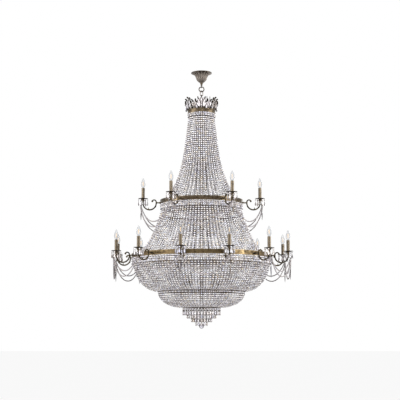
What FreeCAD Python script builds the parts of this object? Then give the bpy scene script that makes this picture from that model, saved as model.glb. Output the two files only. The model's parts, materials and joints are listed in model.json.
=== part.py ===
import FreeCAD, Part
import math
import os

Vector = FreeCAD.Vector

# A three tier crystal chandelier. The origin is the middle of the ceiling plate's upper face, with +Z up.
# The front, where the photograph was taken from, is -Y. All sizes are in millimetres.

# Clearances
SEAT_GAP = 0.3  # between a piece and what it rests on or hooks into
SCREW_GAP = 0.05  # between a thread and its hole

# Ceiling plate and hanger stem
PLATE_EDGE = 8.5
PLATE_THICKNESS = 4.0
BOLT_CIRCLE_DIAMETER = 96.0
BOLT_HOLE_RADIUS = 5.5
BOLT_COUNT = 4
HANGER_STEM_RADIUS = 8.0
CANOPY_TRAVEL = 12.0  # how far the canopy slides down before its collar meets the eye
STEM_SETBACK = 0.5
HANGER_EYE_RADIUS = 9.0
HANGER_EYE_WIRE = 3.0
NUT_HEIGHT = 10.0
NUT_ACROSS_CORNERS = 27.0

# Canopy
CANOPY_RADIUS = 84.0
CANOPY_RIM = 5.0
CANOPY_BELL_RADIUS = 51.0
CANOPY_FOOT_RADIUS = 13.0
CANOPY_HEIGHT = 86.0
CANOPY_WALL = 2.0
FLUTE_COUNT = 16
FLUTE_RADIUS = 4.0
FLUTE_DEPTH = 0.9
COLLAR_HEIGHT = 5.0
COLLAR_RADIUS = 12.0

# Hanging ring, chain link and the eye on the crown hub
RING_RADIUS = 20.0
RING_WIRE = 4.0
LINK_BEND = 15.0
LINK_STRAIGHT = 12.5
LINK_WIRE = 3.0
LINK_TURN = 45.0
LINK_STANDOFF = 1.5  # at each end, because the turned link crosses the ring and the eye aslant
TOP_EYE_RADIUS = 14.5
TOP_EYE_WIRE = 3.0
HUB_RADIUS = 15.0
HUB_HEIGHT = 30.0
HUB_SOCKET_DEPTH = 16.0
CENTRE_STEM_RADIUS = 9.0
STEM_COLLAR_RADIUS = 16.0
STEM_COLLAR_HEIGHT = 12.0

# Levels: from the hub's foot down to the crown band, then from one band's top edge to the next
CROWN_BELOW_HUB = 69.0
UPPER_TENT_DROP = 727.0
LOWER_TENT_DROP = 430.0
MAIN_BOWL_DROP = 283.0
LOWER_BOWL_DROP = 126.0

# Bands
BAND_WALL = 3.0
BAND_LIP = 2.5
LIP_HEIGHT = 4.0
FLANGE_THICKNESS = 3.0
CROWN_BAND_RADIUS = 110.0
CROWN_BAND_HEIGHT = 28.0
UPPER_BAND_RADIUS = 326.0
UPPER_BAND_HEIGHT = 32.0
LOWER_BAND_RADIUS = 550.0
LOWER_BAND_HEIGHT = 32.0
BOWL_RING_RADIUS = 346.0
BASE_RING_RADIUS = 153.0
THIN_RING_HEIGHT = 10.0
THIN_RING_WIDTH = 12.0

# Spoked frames inside the bands
FRAME_THICKNESS = 6.0
FRAME_LAP = 8.0  # how far a spoke reaches under its band's flange
FRAME_GAP = 3.0  # between a spoke's end and the strands
PLATE_MARGIN = 20.0  # how far a hub plate reaches past the candles on it
SPOKE_WIDTH = 10.0
SPOKE_COUNT = 6
CROWN_HUB_PLATE = 26.0
BASE_HUB_PLATE = 24.0

# Crystal strands
BEAD_WIDTH = 11.5
BEAD_DEPTH = 6.0
UPPER_TENT_GAP = 0.5
LOWER_TENT_GAP = 8.1
MAIN_BOWL_GAP = 3.6
LOWER_BOWL_GAP = 1.8
SKIRT_GAP = 2.4
UPPER_TENT_TOP_INSET = 12.0
UPPER_TENT_FOOT_INSET = 9.0
UPPER_TENT_LEAN = 0.42
UPPER_TENT_FLARE = 4.5
LOWER_TENT_TOP_INSET = 19.0
LOWER_TENT_FOOT_INSET = 11.0
LOWER_TENT_LEAN = 0.55
LOWER_TENT_FLARE = 4.0
MAIN_BOWL_INSET = 7.0
CURVE_STEPS = 8
CROWN_SKIRT_DROP = 31.0
UPPER_SKIRT_DROP = 43.0
LOWER_SKIRT_DROP = 50.0

# Arms: the big bow under the pan, the small curl above the neck, the boss on the band
UPPER_ARM_COUNT = 6
LOWER_ARM_COUNT = 12
UPPER_ARM_TURN = 30.0
LOWER_ARM_TURN = 17.1
NECK_LENGTH = 22.0
ARM_BELOW_BAND_TOP = 19.0
PAN_ABOVE_NECK = 26.0
ARM_TUBE = 4.5
BOW_RADIUS = 52.0
BOW_DEPTH = 30.0  # the bow's centre below the pan
CURL_RADIUS = 15.0
CURL_RISE = 12.0
CURL_END_ANGLE = 15.0
CURL_BALL = 6.0
BOSS_RADIUS = 8.0
BOSS_LENGTH = 12.0
TIP_HOOK_REACH = 16.0
TIP_HOOK_DROP = 12.0
TIP_HOOK_WIRE = 2.0
TIP_HOOK_START = 42.0  # below the pan

# Candle: cup, drip pan, sleeve, lampholder and lamp
CUP_TOP_RADIUS = 15.0
CUP_FOOT_RADIUS = 6.5
CUP_HEIGHT = 24.0
PAN_RADIUS = 40.0
PAN_FLOOR_RADIUS = 22.0
PAN_RIM_WIDTH = 8.0
PAN_RISE = 5.0
PAN_WALL = 1.6
SLEEVE_RADIUS = 13.0
SLEEVE_WALL = 1.0
SLEEVE_HEIGHT = 90.0
HOLDER_GAP = 0.5
HOLDER_SETBACK = 3.0
LAMP_CAP_RADIUS = 7.0
LAMP_CAP_LENGTH = 24.0
LAMP_CAP_GAP = 0.3
LAMP_RADIUS = 17.5
LAMP_HEIGHT = 80.0
LAMP_WAIST = 28.0
LAMP_TIP_RADIUS = 2.5

# Hanging crystals
PAN_DROP_COUNT = 6
PAN_DROP_LENGTH = 56.0
PAN_DROP_RADIUS = 7.0
HOOK_WIRE = 1.0
UPPER_SPEAR_LENGTH = 108.0
LOWER_SPEAR_LENGTH = 160.0
SPEAR_RADIUS = 7.0
UPPER_GARLAND_SAG = 135.0
LOWER_GARLAND_SAG = 96.0
GARLAND_SAG_STEP = 42.0
GARLAND_LAYERS = 2
GARLAND_RADIUS = 3.0
GARLAND_SPREAD = 7.5
TIP_PLATE_RADIUS = 11.0
TIP_PLATE_THICKNESS = 2.0

# Crown
PLUME_COUNT = 6
PLUME_HEIGHT = 100.0
PLUME_WIDTH = 84.0
PLUME_THICKNESS = 3.0
PLUME_LEAN = 14.0
CROWN_SPEAR_LENGTH = 62.0
CROWN_SPEAR_RADIUS = 8.0
LEAF_DROP_LENGTH = 48.0
LEAF_DROP_RADIUS = 6.0

# Base
TIER_COUNT = 4
TIER_STEP = 34.0
FIRST_TIER_DROP = 58.0
TIER_DROP_STEP = 28.0
TIER_CRYSTAL_LENGTH = 30.0
BEAD_PITCH = 17.0
TIER_SPACING = 5.0
TIER_CRYSTAL_RADIUS = 9.0
HOOP_WIDTH = 10.0
BOTTOM_BALL_RADIUS = 20.0
BOTTOM_BALL_DROP = 152.0

# Inner candles
UPPER_CLUSTER_COUNT = 4
UPPER_CLUSTER_RADIUS = 38.0
UPPER_CLUSTER_ROD = 262.0
LOWER_CLUSTER_COUNT = 6
LOWER_CLUSTER_RADIUS = 66.0
LOWER_CLUSTER_ROD = 176.0
BOWL_CLUSTER_COUNT = 8
BOWL_CLUSTER_RADIUS = 128.0
BOWL_CLUSTER_ROD = 8.0
INNER_SLEEVE_HEIGHT = 60.0
INNER_CUP_RADIUS = 16.0
INNER_CUP_HEIGHT = 5.0
ROD_RADIUS = 4.0

# Heights worked out from the sizes, from the ceiling down
canopy_foot = -CANOPY_HEIGHT
collar_foot = canopy_foot - COLLAR_HEIGHT
hanger_eye_height = collar_foot - CANOPY_TRAVEL - HANGER_EYE_WIRE - HANGER_EYE_RADIUS
ring_height = hanger_eye_height - HANGER_EYE_RADIUS + HANGER_EYE_WIRE + SEAT_GAP + RING_WIRE - RING_RADIUS
link_top = ring_height - RING_RADIUS + RING_WIRE + LINK_STANDOFF + LINK_WIRE
link_bottom = link_top - 2 * LINK_BEND - LINK_STRAIGHT
top_eye_height = link_bottom + LINK_WIRE + LINK_STANDOFF + TOP_EYE_WIRE - TOP_EYE_RADIUS
hub_top = top_eye_height - TOP_EYE_RADIUS
hub_foot = hub_top - HUB_HEIGHT
crown_top = hub_foot - CROWN_BELOW_HUB
upper_top = crown_top - UPPER_TENT_DROP
lower_top = upper_top - LOWER_TENT_DROP
bowl_ring_top = lower_top - MAIN_BOWL_DROP
base_ring_top = bowl_ring_top - LOWER_BOWL_DROP
crown_foot = crown_top - CROWN_BAND_HEIGHT
upper_foot = upper_top - UPPER_BAND_HEIGHT
lower_foot = lower_top - LOWER_BAND_HEIGHT
bowl_ring_foot = bowl_ring_top - THIN_RING_HEIGHT
base_ring_foot = base_ring_top - THIN_RING_HEIGHT
thin_frame_setback = (THIN_RING_HEIGHT - FRAME_THICKNESS) / 2
bowl_frame_top = bowl_ring_top - thin_frame_setback
base_frame_top = base_ring_top - thin_frame_setback
base_frame_foot = base_frame_top - FRAME_THICKNESS
stem_foot = base_frame_foot - STEM_COLLAR_HEIGHT
upper_pan_height = upper_top - ARM_BELOW_BAND_TOP + PAN_ABOVE_NECK
lower_pan_height = lower_top - ARM_BELOW_BAND_TOP + PAN_ABOVE_NECK

# Radii worked out from the sizes
plate_radius = BOLT_CIRCLE_DIAMETER / 2 + BOLT_HOLE_RADIUS + PLATE_EDGE
bowl_ring_inside = BOWL_RING_RADIUS - THIN_RING_WIDTH
base_ring_inside = BASE_RING_RADIUS - THIN_RING_WIDTH
tier_radii = [BASE_RING_RADIUS - THIN_RING_WIDTH / 2 - TIER_STEP * tier for tier in range(TIER_COUNT)]
arm_length = BOSS_LENGTH + NECK_LENGTH + 2 * BOW_RADIUS


def place(radius, angle, height):
    """A point at a radius, an angle from the front towards the right, and a height."""
    turn = math.radians(angle)
    return Vector(radius * math.sin(turn), -radius * math.cos(turn), height)


def turned(outline):
    """The solid that an outline of radius and height points makes round the Z axis."""
    points = [Vector(radius, 0, height) for radius, height in outline]
    face = Part.Face(Part.makePolygon(points + points[:1]))
    return face.revolve(Vector(), Vector(0, 0, 1), 360)


def tube(inner, outer, foot, height):
    """An upright tube or flat ring round the Z axis."""
    return Part.makeCylinder(outer, height, Vector(0, 0, foot)).cut(
        Part.makeCylinder(inner, height, Vector(0, 0, foot))
    )


def around(shape, count, start=0.0):
    """Copies of a shape that stands at the front, spread evenly round the Z axis."""
    copies = []
    for index in range(count):
        copy = shape.copy()
        copy.rotate(Vector(), Vector(0, 0, 1), start + index * 360.0 / count)
        copies.append(copy)
    return copies


def moved(shape, offset):
    copy = shape.copy()
    copy.translate(offset)
    return copy


def round_bar(path, radius):
    """A round bar along a wire, starting square to it."""
    edge = path.Edges[0]
    start = edge.valueAt(edge.FirstParameter)
    direction = edge.tangentAt(edge.FirstParameter)
    profile = Part.Wire(Part.makeCircle(radius, start, direction))
    return path.makePipeShell([profile], True, True)


def save(name, solids):
    shape = solids[0] if len(solids) == 1 else Part.makeCompound(solids)
    shape.exportStep("parts/" + name + ".step")


def smooth(points):
    """A smooth edge through points."""
    curve = Part.BSplineCurve()
    curve.interpolate(points)
    return curve.toShape()


def turned_edges(edges):
    """The solid that a closed run of edges in the XZ plane makes round the Z axis."""
    return Part.Face(Part.Wire(edges)).revolve(Vector(), Vector(0, 0, 1), 360)


def line(first, second):
    return Part.LineSegment(first, second).toShape()


# Ceiling fixing


def ceiling_plate():
    plate = Part.makeCylinder(plate_radius, PLATE_THICKNESS, Vector(0, 0, -PLATE_THICKNESS))
    bolt_hole = Part.makeCylinder(
        BOLT_HOLE_RADIUS, PLATE_THICKNESS, place(BOLT_CIRCLE_DIAMETER / 2, 0, -PLATE_THICKNESS)
    )
    stem_hole = Part.makeCylinder(
        HANGER_STEM_RADIUS + SCREW_GAP, PLATE_THICKNESS, Vector(0, 0, -PLATE_THICKNESS)
    )
    return plate.cut(around(bolt_hole, BOLT_COUNT, 45) + [stem_hole])


def hanger_stem():
    """The stem that carries everything, with its eye at the foot."""
    foot = hanger_eye_height + HANGER_EYE_RADIUS
    bar = Part.makeCylinder(HANGER_STEM_RADIUS, -STEM_SETBACK - foot, Vector(0, 0, foot))
    centre = Vector(0, 0, hanger_eye_height)
    return bar.fuse(Part.makeTorus(HANGER_EYE_RADIUS, HANGER_EYE_WIRE, centre, Vector(1, 0, 0)))


def lock_nut():
    corners = [place(NUT_ACROSS_CORNERS / 2, 60 * index, -PLATE_THICKNESS) for index in range(7)]
    body = Part.Face(Part.makePolygon(corners)).extrude(Vector(0, 0, -NUT_HEIGHT))
    hole = Part.makeCylinder(
        HANGER_STEM_RADIUS + SCREW_GAP, NUT_HEIGHT, Vector(0, 0, -PLATE_THICKNESS - NUT_HEIGHT)
    )
    return body.cut(hole)


def canopy_outline(inset):
    """The canopy's side, from rim to foot, moved inwards by the inset. Its shares follow the photograph."""
    points = [
        Vector(CANOPY_RADIUS - inset, 0, -CANOPY_RIM),
        Vector(CANOPY_BELL_RADIUS + 8 - inset, 0, -CANOPY_HEIGHT * 0.2 + inset),
        Vector(CANOPY_BELL_RADIUS - 6 - inset, 0, -CANOPY_HEIGHT * 0.4 + inset / 2),
        Vector(CANOPY_BELL_RADIUS - 13 - inset, 0, -CANOPY_HEIGHT * 0.66 + inset / 2),
        Vector(CANOPY_BELL_RADIUS - 24 - inset, 0, -CANOPY_HEIGHT * 0.88 + inset),
        Vector(CANOPY_FOOT_RADIUS, 0, -CANOPY_HEIGHT + inset),
    ]
    return points


def canopy():
    """A fluted bell that hides the ceiling plate. It is open at the top and holed for the stem."""
    outer = canopy_outline(0)
    inner = canopy_outline(CANOPY_WALL)
    bore = HANGER_STEM_RADIUS + SEAT_GAP
    rim_outer = Vector(CANOPY_RADIUS, 0, -SEAT_GAP)
    rim_inner = Vector(CANOPY_RADIUS - CANOPY_WALL, 0, -SEAT_GAP)
    foot_outer = Vector(bore, 0, -CANOPY_HEIGHT)
    foot_inner = Vector(bore, 0, -CANOPY_HEIGHT + CANOPY_WALL)
    edges = [
        line(rim_inner, rim_outer),
        line(rim_outer, outer[0]),
        smooth(outer),
        line(outer[-1], foot_outer),
        line(foot_outer, foot_inner),
        line(foot_inner, inner[-1]),
        smooth(inner),
        line(inner[0], rim_inner),
    ]
    bell = turned_edges(edges)
    groove_line = [point + Vector(FLUTE_RADIUS - FLUTE_DEPTH, 0, 0) for point in outer[1:-1]]
    groove = round_bar(Part.Wire(smooth(groove_line)), FLUTE_RADIUS)
    return bell.cut(around(groove, FLUTE_COUNT))


def canopy_collar():
    return tube(HANGER_STEM_RADIUS + SEAT_GAP, COLLAR_RADIUS, collar_foot, COLLAR_HEIGHT)


def hanging_ring():
    return Part.makeTorus(RING_RADIUS, RING_WIRE, Vector(0, 0, ring_height), Vector(0, 1, 0))


def suspension_link():
    """A long link turned between the ring above and the eye below."""
    upper_bend = link_top - LINK_BEND
    lower_bend = link_bottom + LINK_BEND
    section = Part.Face(
        Part.Wire(Part.makeCircle(LINK_WIRE, Vector(LINK_BEND, 0, upper_bend), Vector(0, 0, 1)))
    )
    upper = section.revolve(Vector(0, 0, upper_bend), Vector(0, -1, 0), 180)
    lower = moved(section, Vector(0, 0, -LINK_STRAIGHT)).revolve(
        Vector(0, 0, lower_bend), Vector(0, 1, 0), 180
    )
    right = moved(section, Vector(0, 0, -LINK_STRAIGHT)).extrude(Vector(0, 0, LINK_STRAIGHT))
    left = moved(right, Vector(-2 * LINK_BEND, 0, 0))
    link = upper.fuse([lower, right, left])
    link.rotate(Vector(), Vector(0, 0, 1), LINK_TURN)
    return link


def crown_hub():
    """The hub that the centre stem screws into, with its eye on top."""
    eye = Part.makeTorus(
        TOP_EYE_RADIUS, TOP_EYE_WIRE, Vector(0, 0, top_eye_height), Vector(1, 0, 0)
    )
    body = turned(
        [
            (0, hub_top),
            (HUB_RADIUS * 0.5, hub_top),
            (HUB_RADIUS * 0.6, hub_top - HUB_HEIGHT * 0.3),
            (HUB_RADIUS, hub_top - HUB_HEIGHT * 0.45),
            (HUB_RADIUS, hub_foot),
            (0, hub_foot),
        ]
    )
    socket = Part.makeCylinder(
        CENTRE_STEM_RADIUS + SCREW_GAP, HUB_SOCKET_DEPTH, Vector(0, 0, hub_foot)
    )
    return body.fuse(eye).cut(socket)


# Frame


def centre_stem():
    top = hub_foot + HUB_SOCKET_DEPTH - SEAT_GAP
    return Part.makeCylinder(CENTRE_STEM_RADIUS, top - stem_foot, Vector(0, 0, stem_foot))


def stem_collars():
    """A clamped collar under each spoked frame."""
    collars = []
    for frame_top in (crown_foot, upper_foot, lower_foot, bowl_frame_top, base_frame_top):
        foot = frame_top - FRAME_THICKNESS - STEM_COLLAR_HEIGHT
        bore = CENTRE_STEM_RADIUS + SCREW_GAP
        collars.append(tube(bore, STEM_COLLAR_RADIUS, foot, STEM_COLLAR_HEIGHT))
    return collars


def flange_width(strand_inset):
    """A flange carries the strands that hang inside the wall, and the ends of the frame's spokes."""
    return strand_inset + BEAD_DEPTH / 2 + FRAME_GAP + FRAME_LAP


def band(radius, foot, height, strand_inset):
    """A hoop with a lip along both edges and a flange inside its foot that the strands hook to."""
    top = foot + height
    wall = radius - BAND_WALL
    outside = radius + BAND_LIP
    inside = wall - flange_width(strand_inset)
    return turned(
        [
            (inside, foot),
            (outside, foot),
            (outside, foot + LIP_HEIGHT),
            (radius, foot + LIP_HEIGHT),
            (radius, top - LIP_HEIGHT),
            (outside, top - LIP_HEIGHT),
            (outside, top),
            (wall, top),
            (wall, foot + FLANGE_THICKNESS),
            (inside, foot + FLANGE_THICKNESS),
        ]
    )


def band_frame(radius, foot, hub_plate, strand_inset):
    """The spoked frame that carries a band from below."""
    reach = radius - BAND_WALL - flange_width(strand_inset) + FRAME_LAP
    return spoked_frame(reach, hub_plate, foot)


def spoked_frame(reach, hub_plate, top, hoops=()):
    """Spokes from a plate on the centre stem out to a band, with any hoops between."""
    foot = top - FRAME_THICKNESS
    plate = Part.makeCylinder(hub_plate, FRAME_THICKNESS, Vector(0, 0, foot))
    spoke = Part.makeBox(SPOKE_WIDTH, reach, FRAME_THICKNESS, Vector(-SPOKE_WIDTH / 2, -reach, foot))
    rings = [
        tube(radius - HOOP_WIDTH / 2, radius + HOOP_WIDTH / 2, foot, FRAME_THICKNESS)
        for radius in hoops
    ]
    rim = Part.makeCylinder(reach, FRAME_THICKNESS, Vector(0, 0, foot))
    bore = Part.makeCylinder(CENTRE_STEM_RADIUS + SCREW_GAP, FRAME_THICKNESS, Vector(0, 0, foot))
    frame = plate.fuse(around(spoke, SPOKE_COUNT, 30) + rings)
    return frame.common(rim).cut(bore).removeSplitter()


# Crystal strands


def strand(centre_line, offsets):
    """A ribbon of beads along a centre line of radius and height points, in the front's plane."""
    outer = []
    inner = []
    for (radius, height), (out, up) in zip(centre_line, offsets):
        outer.append(Vector(0, -radius - out * BEAD_DEPTH / 2, height + up * BEAD_DEPTH / 2))
        inner.append(Vector(0, -radius + out * BEAD_DEPTH / 2, height - up * BEAD_DEPTH / 2))
    inner.reverse()
    edges = [smooth(outer), line(outer[-1], inner[0]), smooth(inner), line(inner[-1], outer[0])]
    side = Part.Face(Part.Wire(edges))
    side.translate(Vector(-BEAD_WIDTH / 2, 0, 0))
    return side.extrude(Vector(BEAD_WIDTH, 0, 0))


def strand_count(radius, gap):
    """How many strands fit round a circle at the beads' inner side."""
    return int(2 * math.pi * (radius - BEAD_DEPTH / 2) / (BEAD_WIDTH + gap))


def tent(top_radius, top, foot_radius, foot, lean, flare, gap):
    """Strands that lean out steadily from a small ring and flare towards a large one."""
    centre_line = []
    for step in range(CURVE_STEPS + 1):
        share = step / CURVE_STEPS
        outward = lean * share + (1 - lean) * share**flare
        radius = top_radius + (foot_radius - top_radius) * outward
        centre_line.append((radius, top + (foot - top) * share))
    level = [(1, 0)] * len(centre_line)
    return around(strand(centre_line, level), strand_count(top_radius, gap))


def bowl(top_radius, top, foot_radius, foot, gap):
    """Strands that hang down and curve in to a smaller ring, as a quarter of an ellipse."""
    centre_line = []
    offsets = []
    width = top_radius - foot_radius
    depth = top - foot
    for step in range(CURVE_STEPS + 1):
        angle = math.pi / 2 * step / CURVE_STEPS
        centre_line.append((foot_radius + width * math.cos(angle), top - depth * math.sin(angle)))
        out = depth * math.cos(angle)
        down = width * math.sin(angle)
        length = math.hypot(out, down)
        offsets.append((out / length, -down / length))
    return around(strand(centre_line, offsets), strand_count(foot_radius, gap))


def upper_tent():
    return tent(
        CROWN_BAND_RADIUS - BAND_WALL - UPPER_TENT_TOP_INSET,
        crown_foot - SEAT_GAP,
        UPPER_BAND_RADIUS - BAND_WALL - UPPER_TENT_FOOT_INSET,
        upper_foot + FLANGE_THICKNESS + SEAT_GAP,
        UPPER_TENT_LEAN,
        UPPER_TENT_FLARE,
        UPPER_TENT_GAP,
    )


def lower_tent():
    return tent(
        UPPER_BAND_RADIUS - BAND_WALL - LOWER_TENT_TOP_INSET,
        upper_foot - SEAT_GAP,
        LOWER_BAND_RADIUS - BAND_WALL - LOWER_TENT_FOOT_INSET,
        lower_foot + FLANGE_THICKNESS + SEAT_GAP,
        LOWER_TENT_LEAN,
        LOWER_TENT_FLARE,
        LOWER_TENT_GAP,
    )


def main_bowl():
    return bowl(
        LOWER_BAND_RADIUS - BAND_WALL - MAIN_BOWL_INSET,
        lower_foot - SEAT_GAP,
        BOWL_RING_RADIUS + SEAT_GAP,
        bowl_ring_top - THIN_RING_HEIGHT / 2,
        MAIN_BOWL_GAP,
    )


def lower_bowl():
    return bowl(
        BOWL_RING_RADIUS - THIN_RING_WIDTH / 2,
        bowl_ring_foot - SEAT_GAP,
        BASE_RING_RADIUS + SEAT_GAP,
        base_ring_top - THIN_RING_HEIGHT / 2,
        LOWER_BOWL_GAP,
    )


def skirt(band_radius, band_foot, drop):
    """Short straight strands under a band's outer edge."""
    radius = band_radius + BAND_LIP - BEAD_DEPTH / 2
    piece = Part.makeBox(
        BEAD_WIDTH,
        BEAD_DEPTH,
        drop,
        Vector(-BEAD_WIDTH / 2, -radius - BEAD_DEPTH / 2, band_foot - SEAT_GAP - drop),
    )
    return around(piece, strand_count(radius, SKIRT_GAP))


def crystal_string(top, drop, beads, bead_radius, end_length, end_radius):
    """The outline of a string of beads with a long crystal at its end."""
    outline = [(0, top), (HOOK_WIRE, top)]
    pitch = (drop - end_length) / max(beads, 1)
    for index in range(beads):
        height = top - pitch * index
        outline.append((HOOK_WIRE, height - pitch * 0.2))
        outline.append((bead_radius, height - pitch * 0.4))
        outline.append((bead_radius, height - pitch * 0.6))
        outline.append((HOOK_WIRE, height - pitch * 0.8))
    shoulder = top - drop + end_length
    outline.append((HOOK_WIRE, shoulder))
    outline.append((end_radius, shoulder - end_length * 0.6))
    outline.append((0, top - drop))
    return outline


# Arms and candles, made with the pan's middle at the origin and +X pointing away from the chandelier


def to_front(shape, reach, height):
    """Carries a piece from the pan's own place to the front of the chandelier."""
    shape.rotate(Vector(), Vector(0, 0, 1), -90)
    shape.translate(Vector(0, -reach, height))
    return shape


def bow_point(angle):
    turn = math.radians(angle)
    return Vector(
        -BOW_RADIUS + BOW_RADIUS * math.cos(turn), 0, -BOW_DEPTH + BOW_RADIUS * math.sin(turn)
    )


def curl_point(angle):
    turn = math.radians(angle)
    return Vector(
        -2 * BOW_RADIUS + CURL_RADIUS + CURL_RADIUS * math.cos(turn),
        0,
        -BOW_DEPTH + CURL_RISE + CURL_RADIUS * math.sin(turn),
    )


def arm(reach, band_radius):
    """A bow that carries the candle, with a curled end above the neck that joins it to the band."""
    path = Part.Wire(
        [
            line(Vector(0, 0, -CUP_HEIGHT - SEAT_GAP), bow_point(0)),
            Part.Arc(bow_point(0), bow_point(-90), bow_point(-180)).toShape(),
            line(bow_point(-180), curl_point(180)),
            Part.Arc(curl_point(180), curl_point(90), curl_point(CURL_END_ANGLE)).toShape(),
        ]
    )
    bow = round_bar(path, ARM_TUBE)
    ball = Part.makeSphere(CURL_BALL, curl_point(CURL_END_ANGLE))
    boss_end = band_radius + BOSS_LENGTH - reach
    neck = Part.makeCylinder(
        ARM_TUBE,
        -2 * BOW_RADIUS - boss_end,
        Vector(boss_end, 0, -PAN_ABOVE_NECK),
        Vector(1, 0, 0),
    )
    spur_foot = bow_point(-90) + Vector(0, 0, ARM_TUBE / 2)
    spur = Part.makeCone(ARM_TUBE * 0.7, 1.0, BOW_RADIUS * 0.3, spur_foot)
    hook_end = Vector(TIP_HOOK_REACH, 0, -TIP_HOOK_START - TIP_HOOK_DROP)
    bend = TIP_HOOK_DROP / 2
    bend_start = Vector(TIP_HOOK_REACH - bend, 0, -TIP_HOOK_START)
    bend_end = Vector(TIP_HOOK_REACH, 0, -TIP_HOOK_START - bend)
    bend_middle = bend_start + Vector(bend * math.sqrt(0.5), 0, -bend * (1 - math.sqrt(0.5)))
    hook_path = Part.Wire(
        [
            line(Vector(-ARM_TUBE / 2, 0, -TIP_HOOK_START), bend_start),
            Part.Arc(bend_start, bend_middle, bend_end).toShape(),
            line(bend_end, hook_end),
        ]
    )
    hook = round_bar(hook_path, TIP_HOOK_WIRE)
    tip_plate = Part.makeCylinder(
        TIP_PLATE_RADIUS, TIP_PLATE_THICKNESS, hook_end - Vector(0, 0, TIP_PLATE_THICKNESS)
    )
    return bow.fuse([ball, neck, spur, hook, tip_plate])


tip_plate_foot = -TIP_HOOK_START - TIP_HOOK_DROP - TIP_PLATE_THICKNESS


def arm_boss(reach, band_radius):
    """A round boss between a band's wall and an arm's neck."""
    start = Vector(band_radius + SEAT_GAP - reach, 0, -PAN_ABOVE_NECK)
    flange = Part.makeCylinder(BOSS_RADIUS, BOSS_LENGTH * 0.4, start, Vector(1, 0, 0))
    nose = Part.makeCone(
        BOSS_RADIUS * 0.85, ARM_TUBE * 1.2, BOSS_LENGTH - SEAT_GAP, start, Vector(1, 0, 0)
    )
    return flange.fuse(nose)


def candle_cup():
    return turned(
        [
            (0, -CUP_HEIGHT),
            (CUP_FOOT_RADIUS, -CUP_HEIGHT),
            (CUP_FOOT_RADIUS * 1.35, -CUP_HEIGHT * 0.8),
            (CUP_FOOT_RADIUS, -CUP_HEIGHT * 0.62),
            (CUP_TOP_RADIUS * 0.75, -CUP_HEIGHT * 0.35),
            (CUP_TOP_RADIUS, -CUP_HEIGHT * 0.1),
            (CUP_TOP_RADIUS, 0),
            (0, 0),
        ]
    )


def drip_pan():
    """A thin dish with a flat rim that the crystals hang from."""
    rim_start = PAN_RADIUS - PAN_RIM_WIDTH
    return turned(
        [
            (0, 0),
            (PAN_FLOOR_RADIUS, 0),
            (rim_start, PAN_RISE),
            (PAN_RADIUS, PAN_RISE),
            (PAN_RADIUS, PAN_RISE + PAN_WALL),
            (rim_start, PAN_RISE + PAN_WALL),
            (PAN_FLOOR_RADIUS, PAN_WALL),
            (0, PAN_WALL),
        ]
    )


sleeve_top = PAN_WALL + SLEEVE_HEIGHT
holder_top = sleeve_top - HOLDER_SETBACK


def candle_sleeve():
    return tube(SLEEVE_RADIUS - SLEEVE_WALL, SLEEVE_RADIUS, PAN_WALL, SLEEVE_HEIGHT)


def lampholder():
    radius = SLEEVE_RADIUS - SLEEVE_WALL - HOLDER_GAP
    body = Part.makeCylinder(radius, holder_top - PAN_WALL, Vector(0, 0, PAN_WALL))
    socket = Part.makeCylinder(
        LAMP_CAP_RADIUS + LAMP_CAP_GAP,
        LAMP_CAP_LENGTH + SEAT_GAP,
        Vector(0, 0, holder_top - LAMP_CAP_LENGTH - SEAT_GAP),
    )
    return body.cut(socket)


def lamp(mouth):
    """A candle lamp whose cap sits in a lampholder under the sleeve's mouth."""
    cap_top = mouth - HOLDER_SETBACK
    glass = [
        Vector(LAMP_CAP_RADIUS, 0, cap_top),
        Vector(LAMP_RADIUS * 0.72, 0, mouth + LAMP_WAIST * 0.3),
        Vector(LAMP_RADIUS, 0, mouth + LAMP_WAIST),
        Vector(LAMP_RADIUS * 0.82, 0, mouth + LAMP_HEIGHT * 0.62),
        Vector(LAMP_RADIUS * 0.4, 0, mouth + LAMP_HEIGHT * 0.88),
        Vector(LAMP_TIP_RADIUS, 0, mouth + LAMP_HEIGHT),
    ]
    cap_foot = cap_top - LAMP_CAP_LENGTH
    edges = [
        line(Vector(0, 0, cap_foot), Vector(LAMP_CAP_RADIUS, 0, cap_foot)),
        line(Vector(LAMP_CAP_RADIUS, 0, cap_foot), glass[0]),
        smooth(glass),
        line(glass[-1], Vector(0, 0, mouth + LAMP_HEIGHT)),
        line(Vector(0, 0, mouth + LAMP_HEIGHT), Vector(0, 0, cap_foot)),
    ]
    return turned_edges(edges)


def pan_drops():
    top = PAN_RISE - SEAT_GAP
    drop = turned(
        crystal_string(
            top, PAN_DROP_LENGTH, 1, PAN_DROP_RADIUS * 0.8, PAN_DROP_LENGTH * 0.6, PAN_DROP_RADIUS
        )
    )
    drop.translate(place(PAN_RADIUS - PAN_RIM_WIDTH / 2, 0, 0))
    return around(drop, PAN_DROP_COUNT, 0)


def arm_spear(length):
    beads = int(length / 50)
    spear = turned(
        crystal_string(
            tip_plate_foot - SEAT_GAP, length, beads, SPEAR_RADIUS * 0.8, length * 0.6, SPEAR_RADIUS
        )
    )
    spear.translate(Vector(TIP_HOOK_REACH, 0, 0))
    return spear


def garlands(reach, height, count, turn, first_sag):
    """Strings of beads between the tips of neighbouring arms, with a bead at each end."""
    strings = []
    end_height = height + tip_plate_foot - SEAT_GAP - GARLAND_RADIUS
    for layer in range(GARLAND_LAYERS):
        shift = (2 * layer - 1) * (GARLAND_RADIUS + SEAT_GAP)
        radius = reach + TIP_HOOK_REACH + shift
        sag = first_sag + layer * GARLAND_SAG_STEP
        spread = math.degrees(GARLAND_SPREAD / radius)
        step = 360.0 / count
        first = place(radius, spread, end_height)
        last = place(radius, step - spread, end_height)
        middle = (first + last) * 0.5 - Vector(0, 0, sag)
        path = Part.Wire(Part.Arc(first, middle, last).toShape())
        string = round_bar(path, GARLAND_RADIUS)
        ends = [Part.makeSphere(GARLAND_RADIUS, first), Part.makeSphere(GARLAND_RADIUS, last)]
        strings += around(string.fuse(ends), count, turn)
    return strings


# Crown


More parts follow.
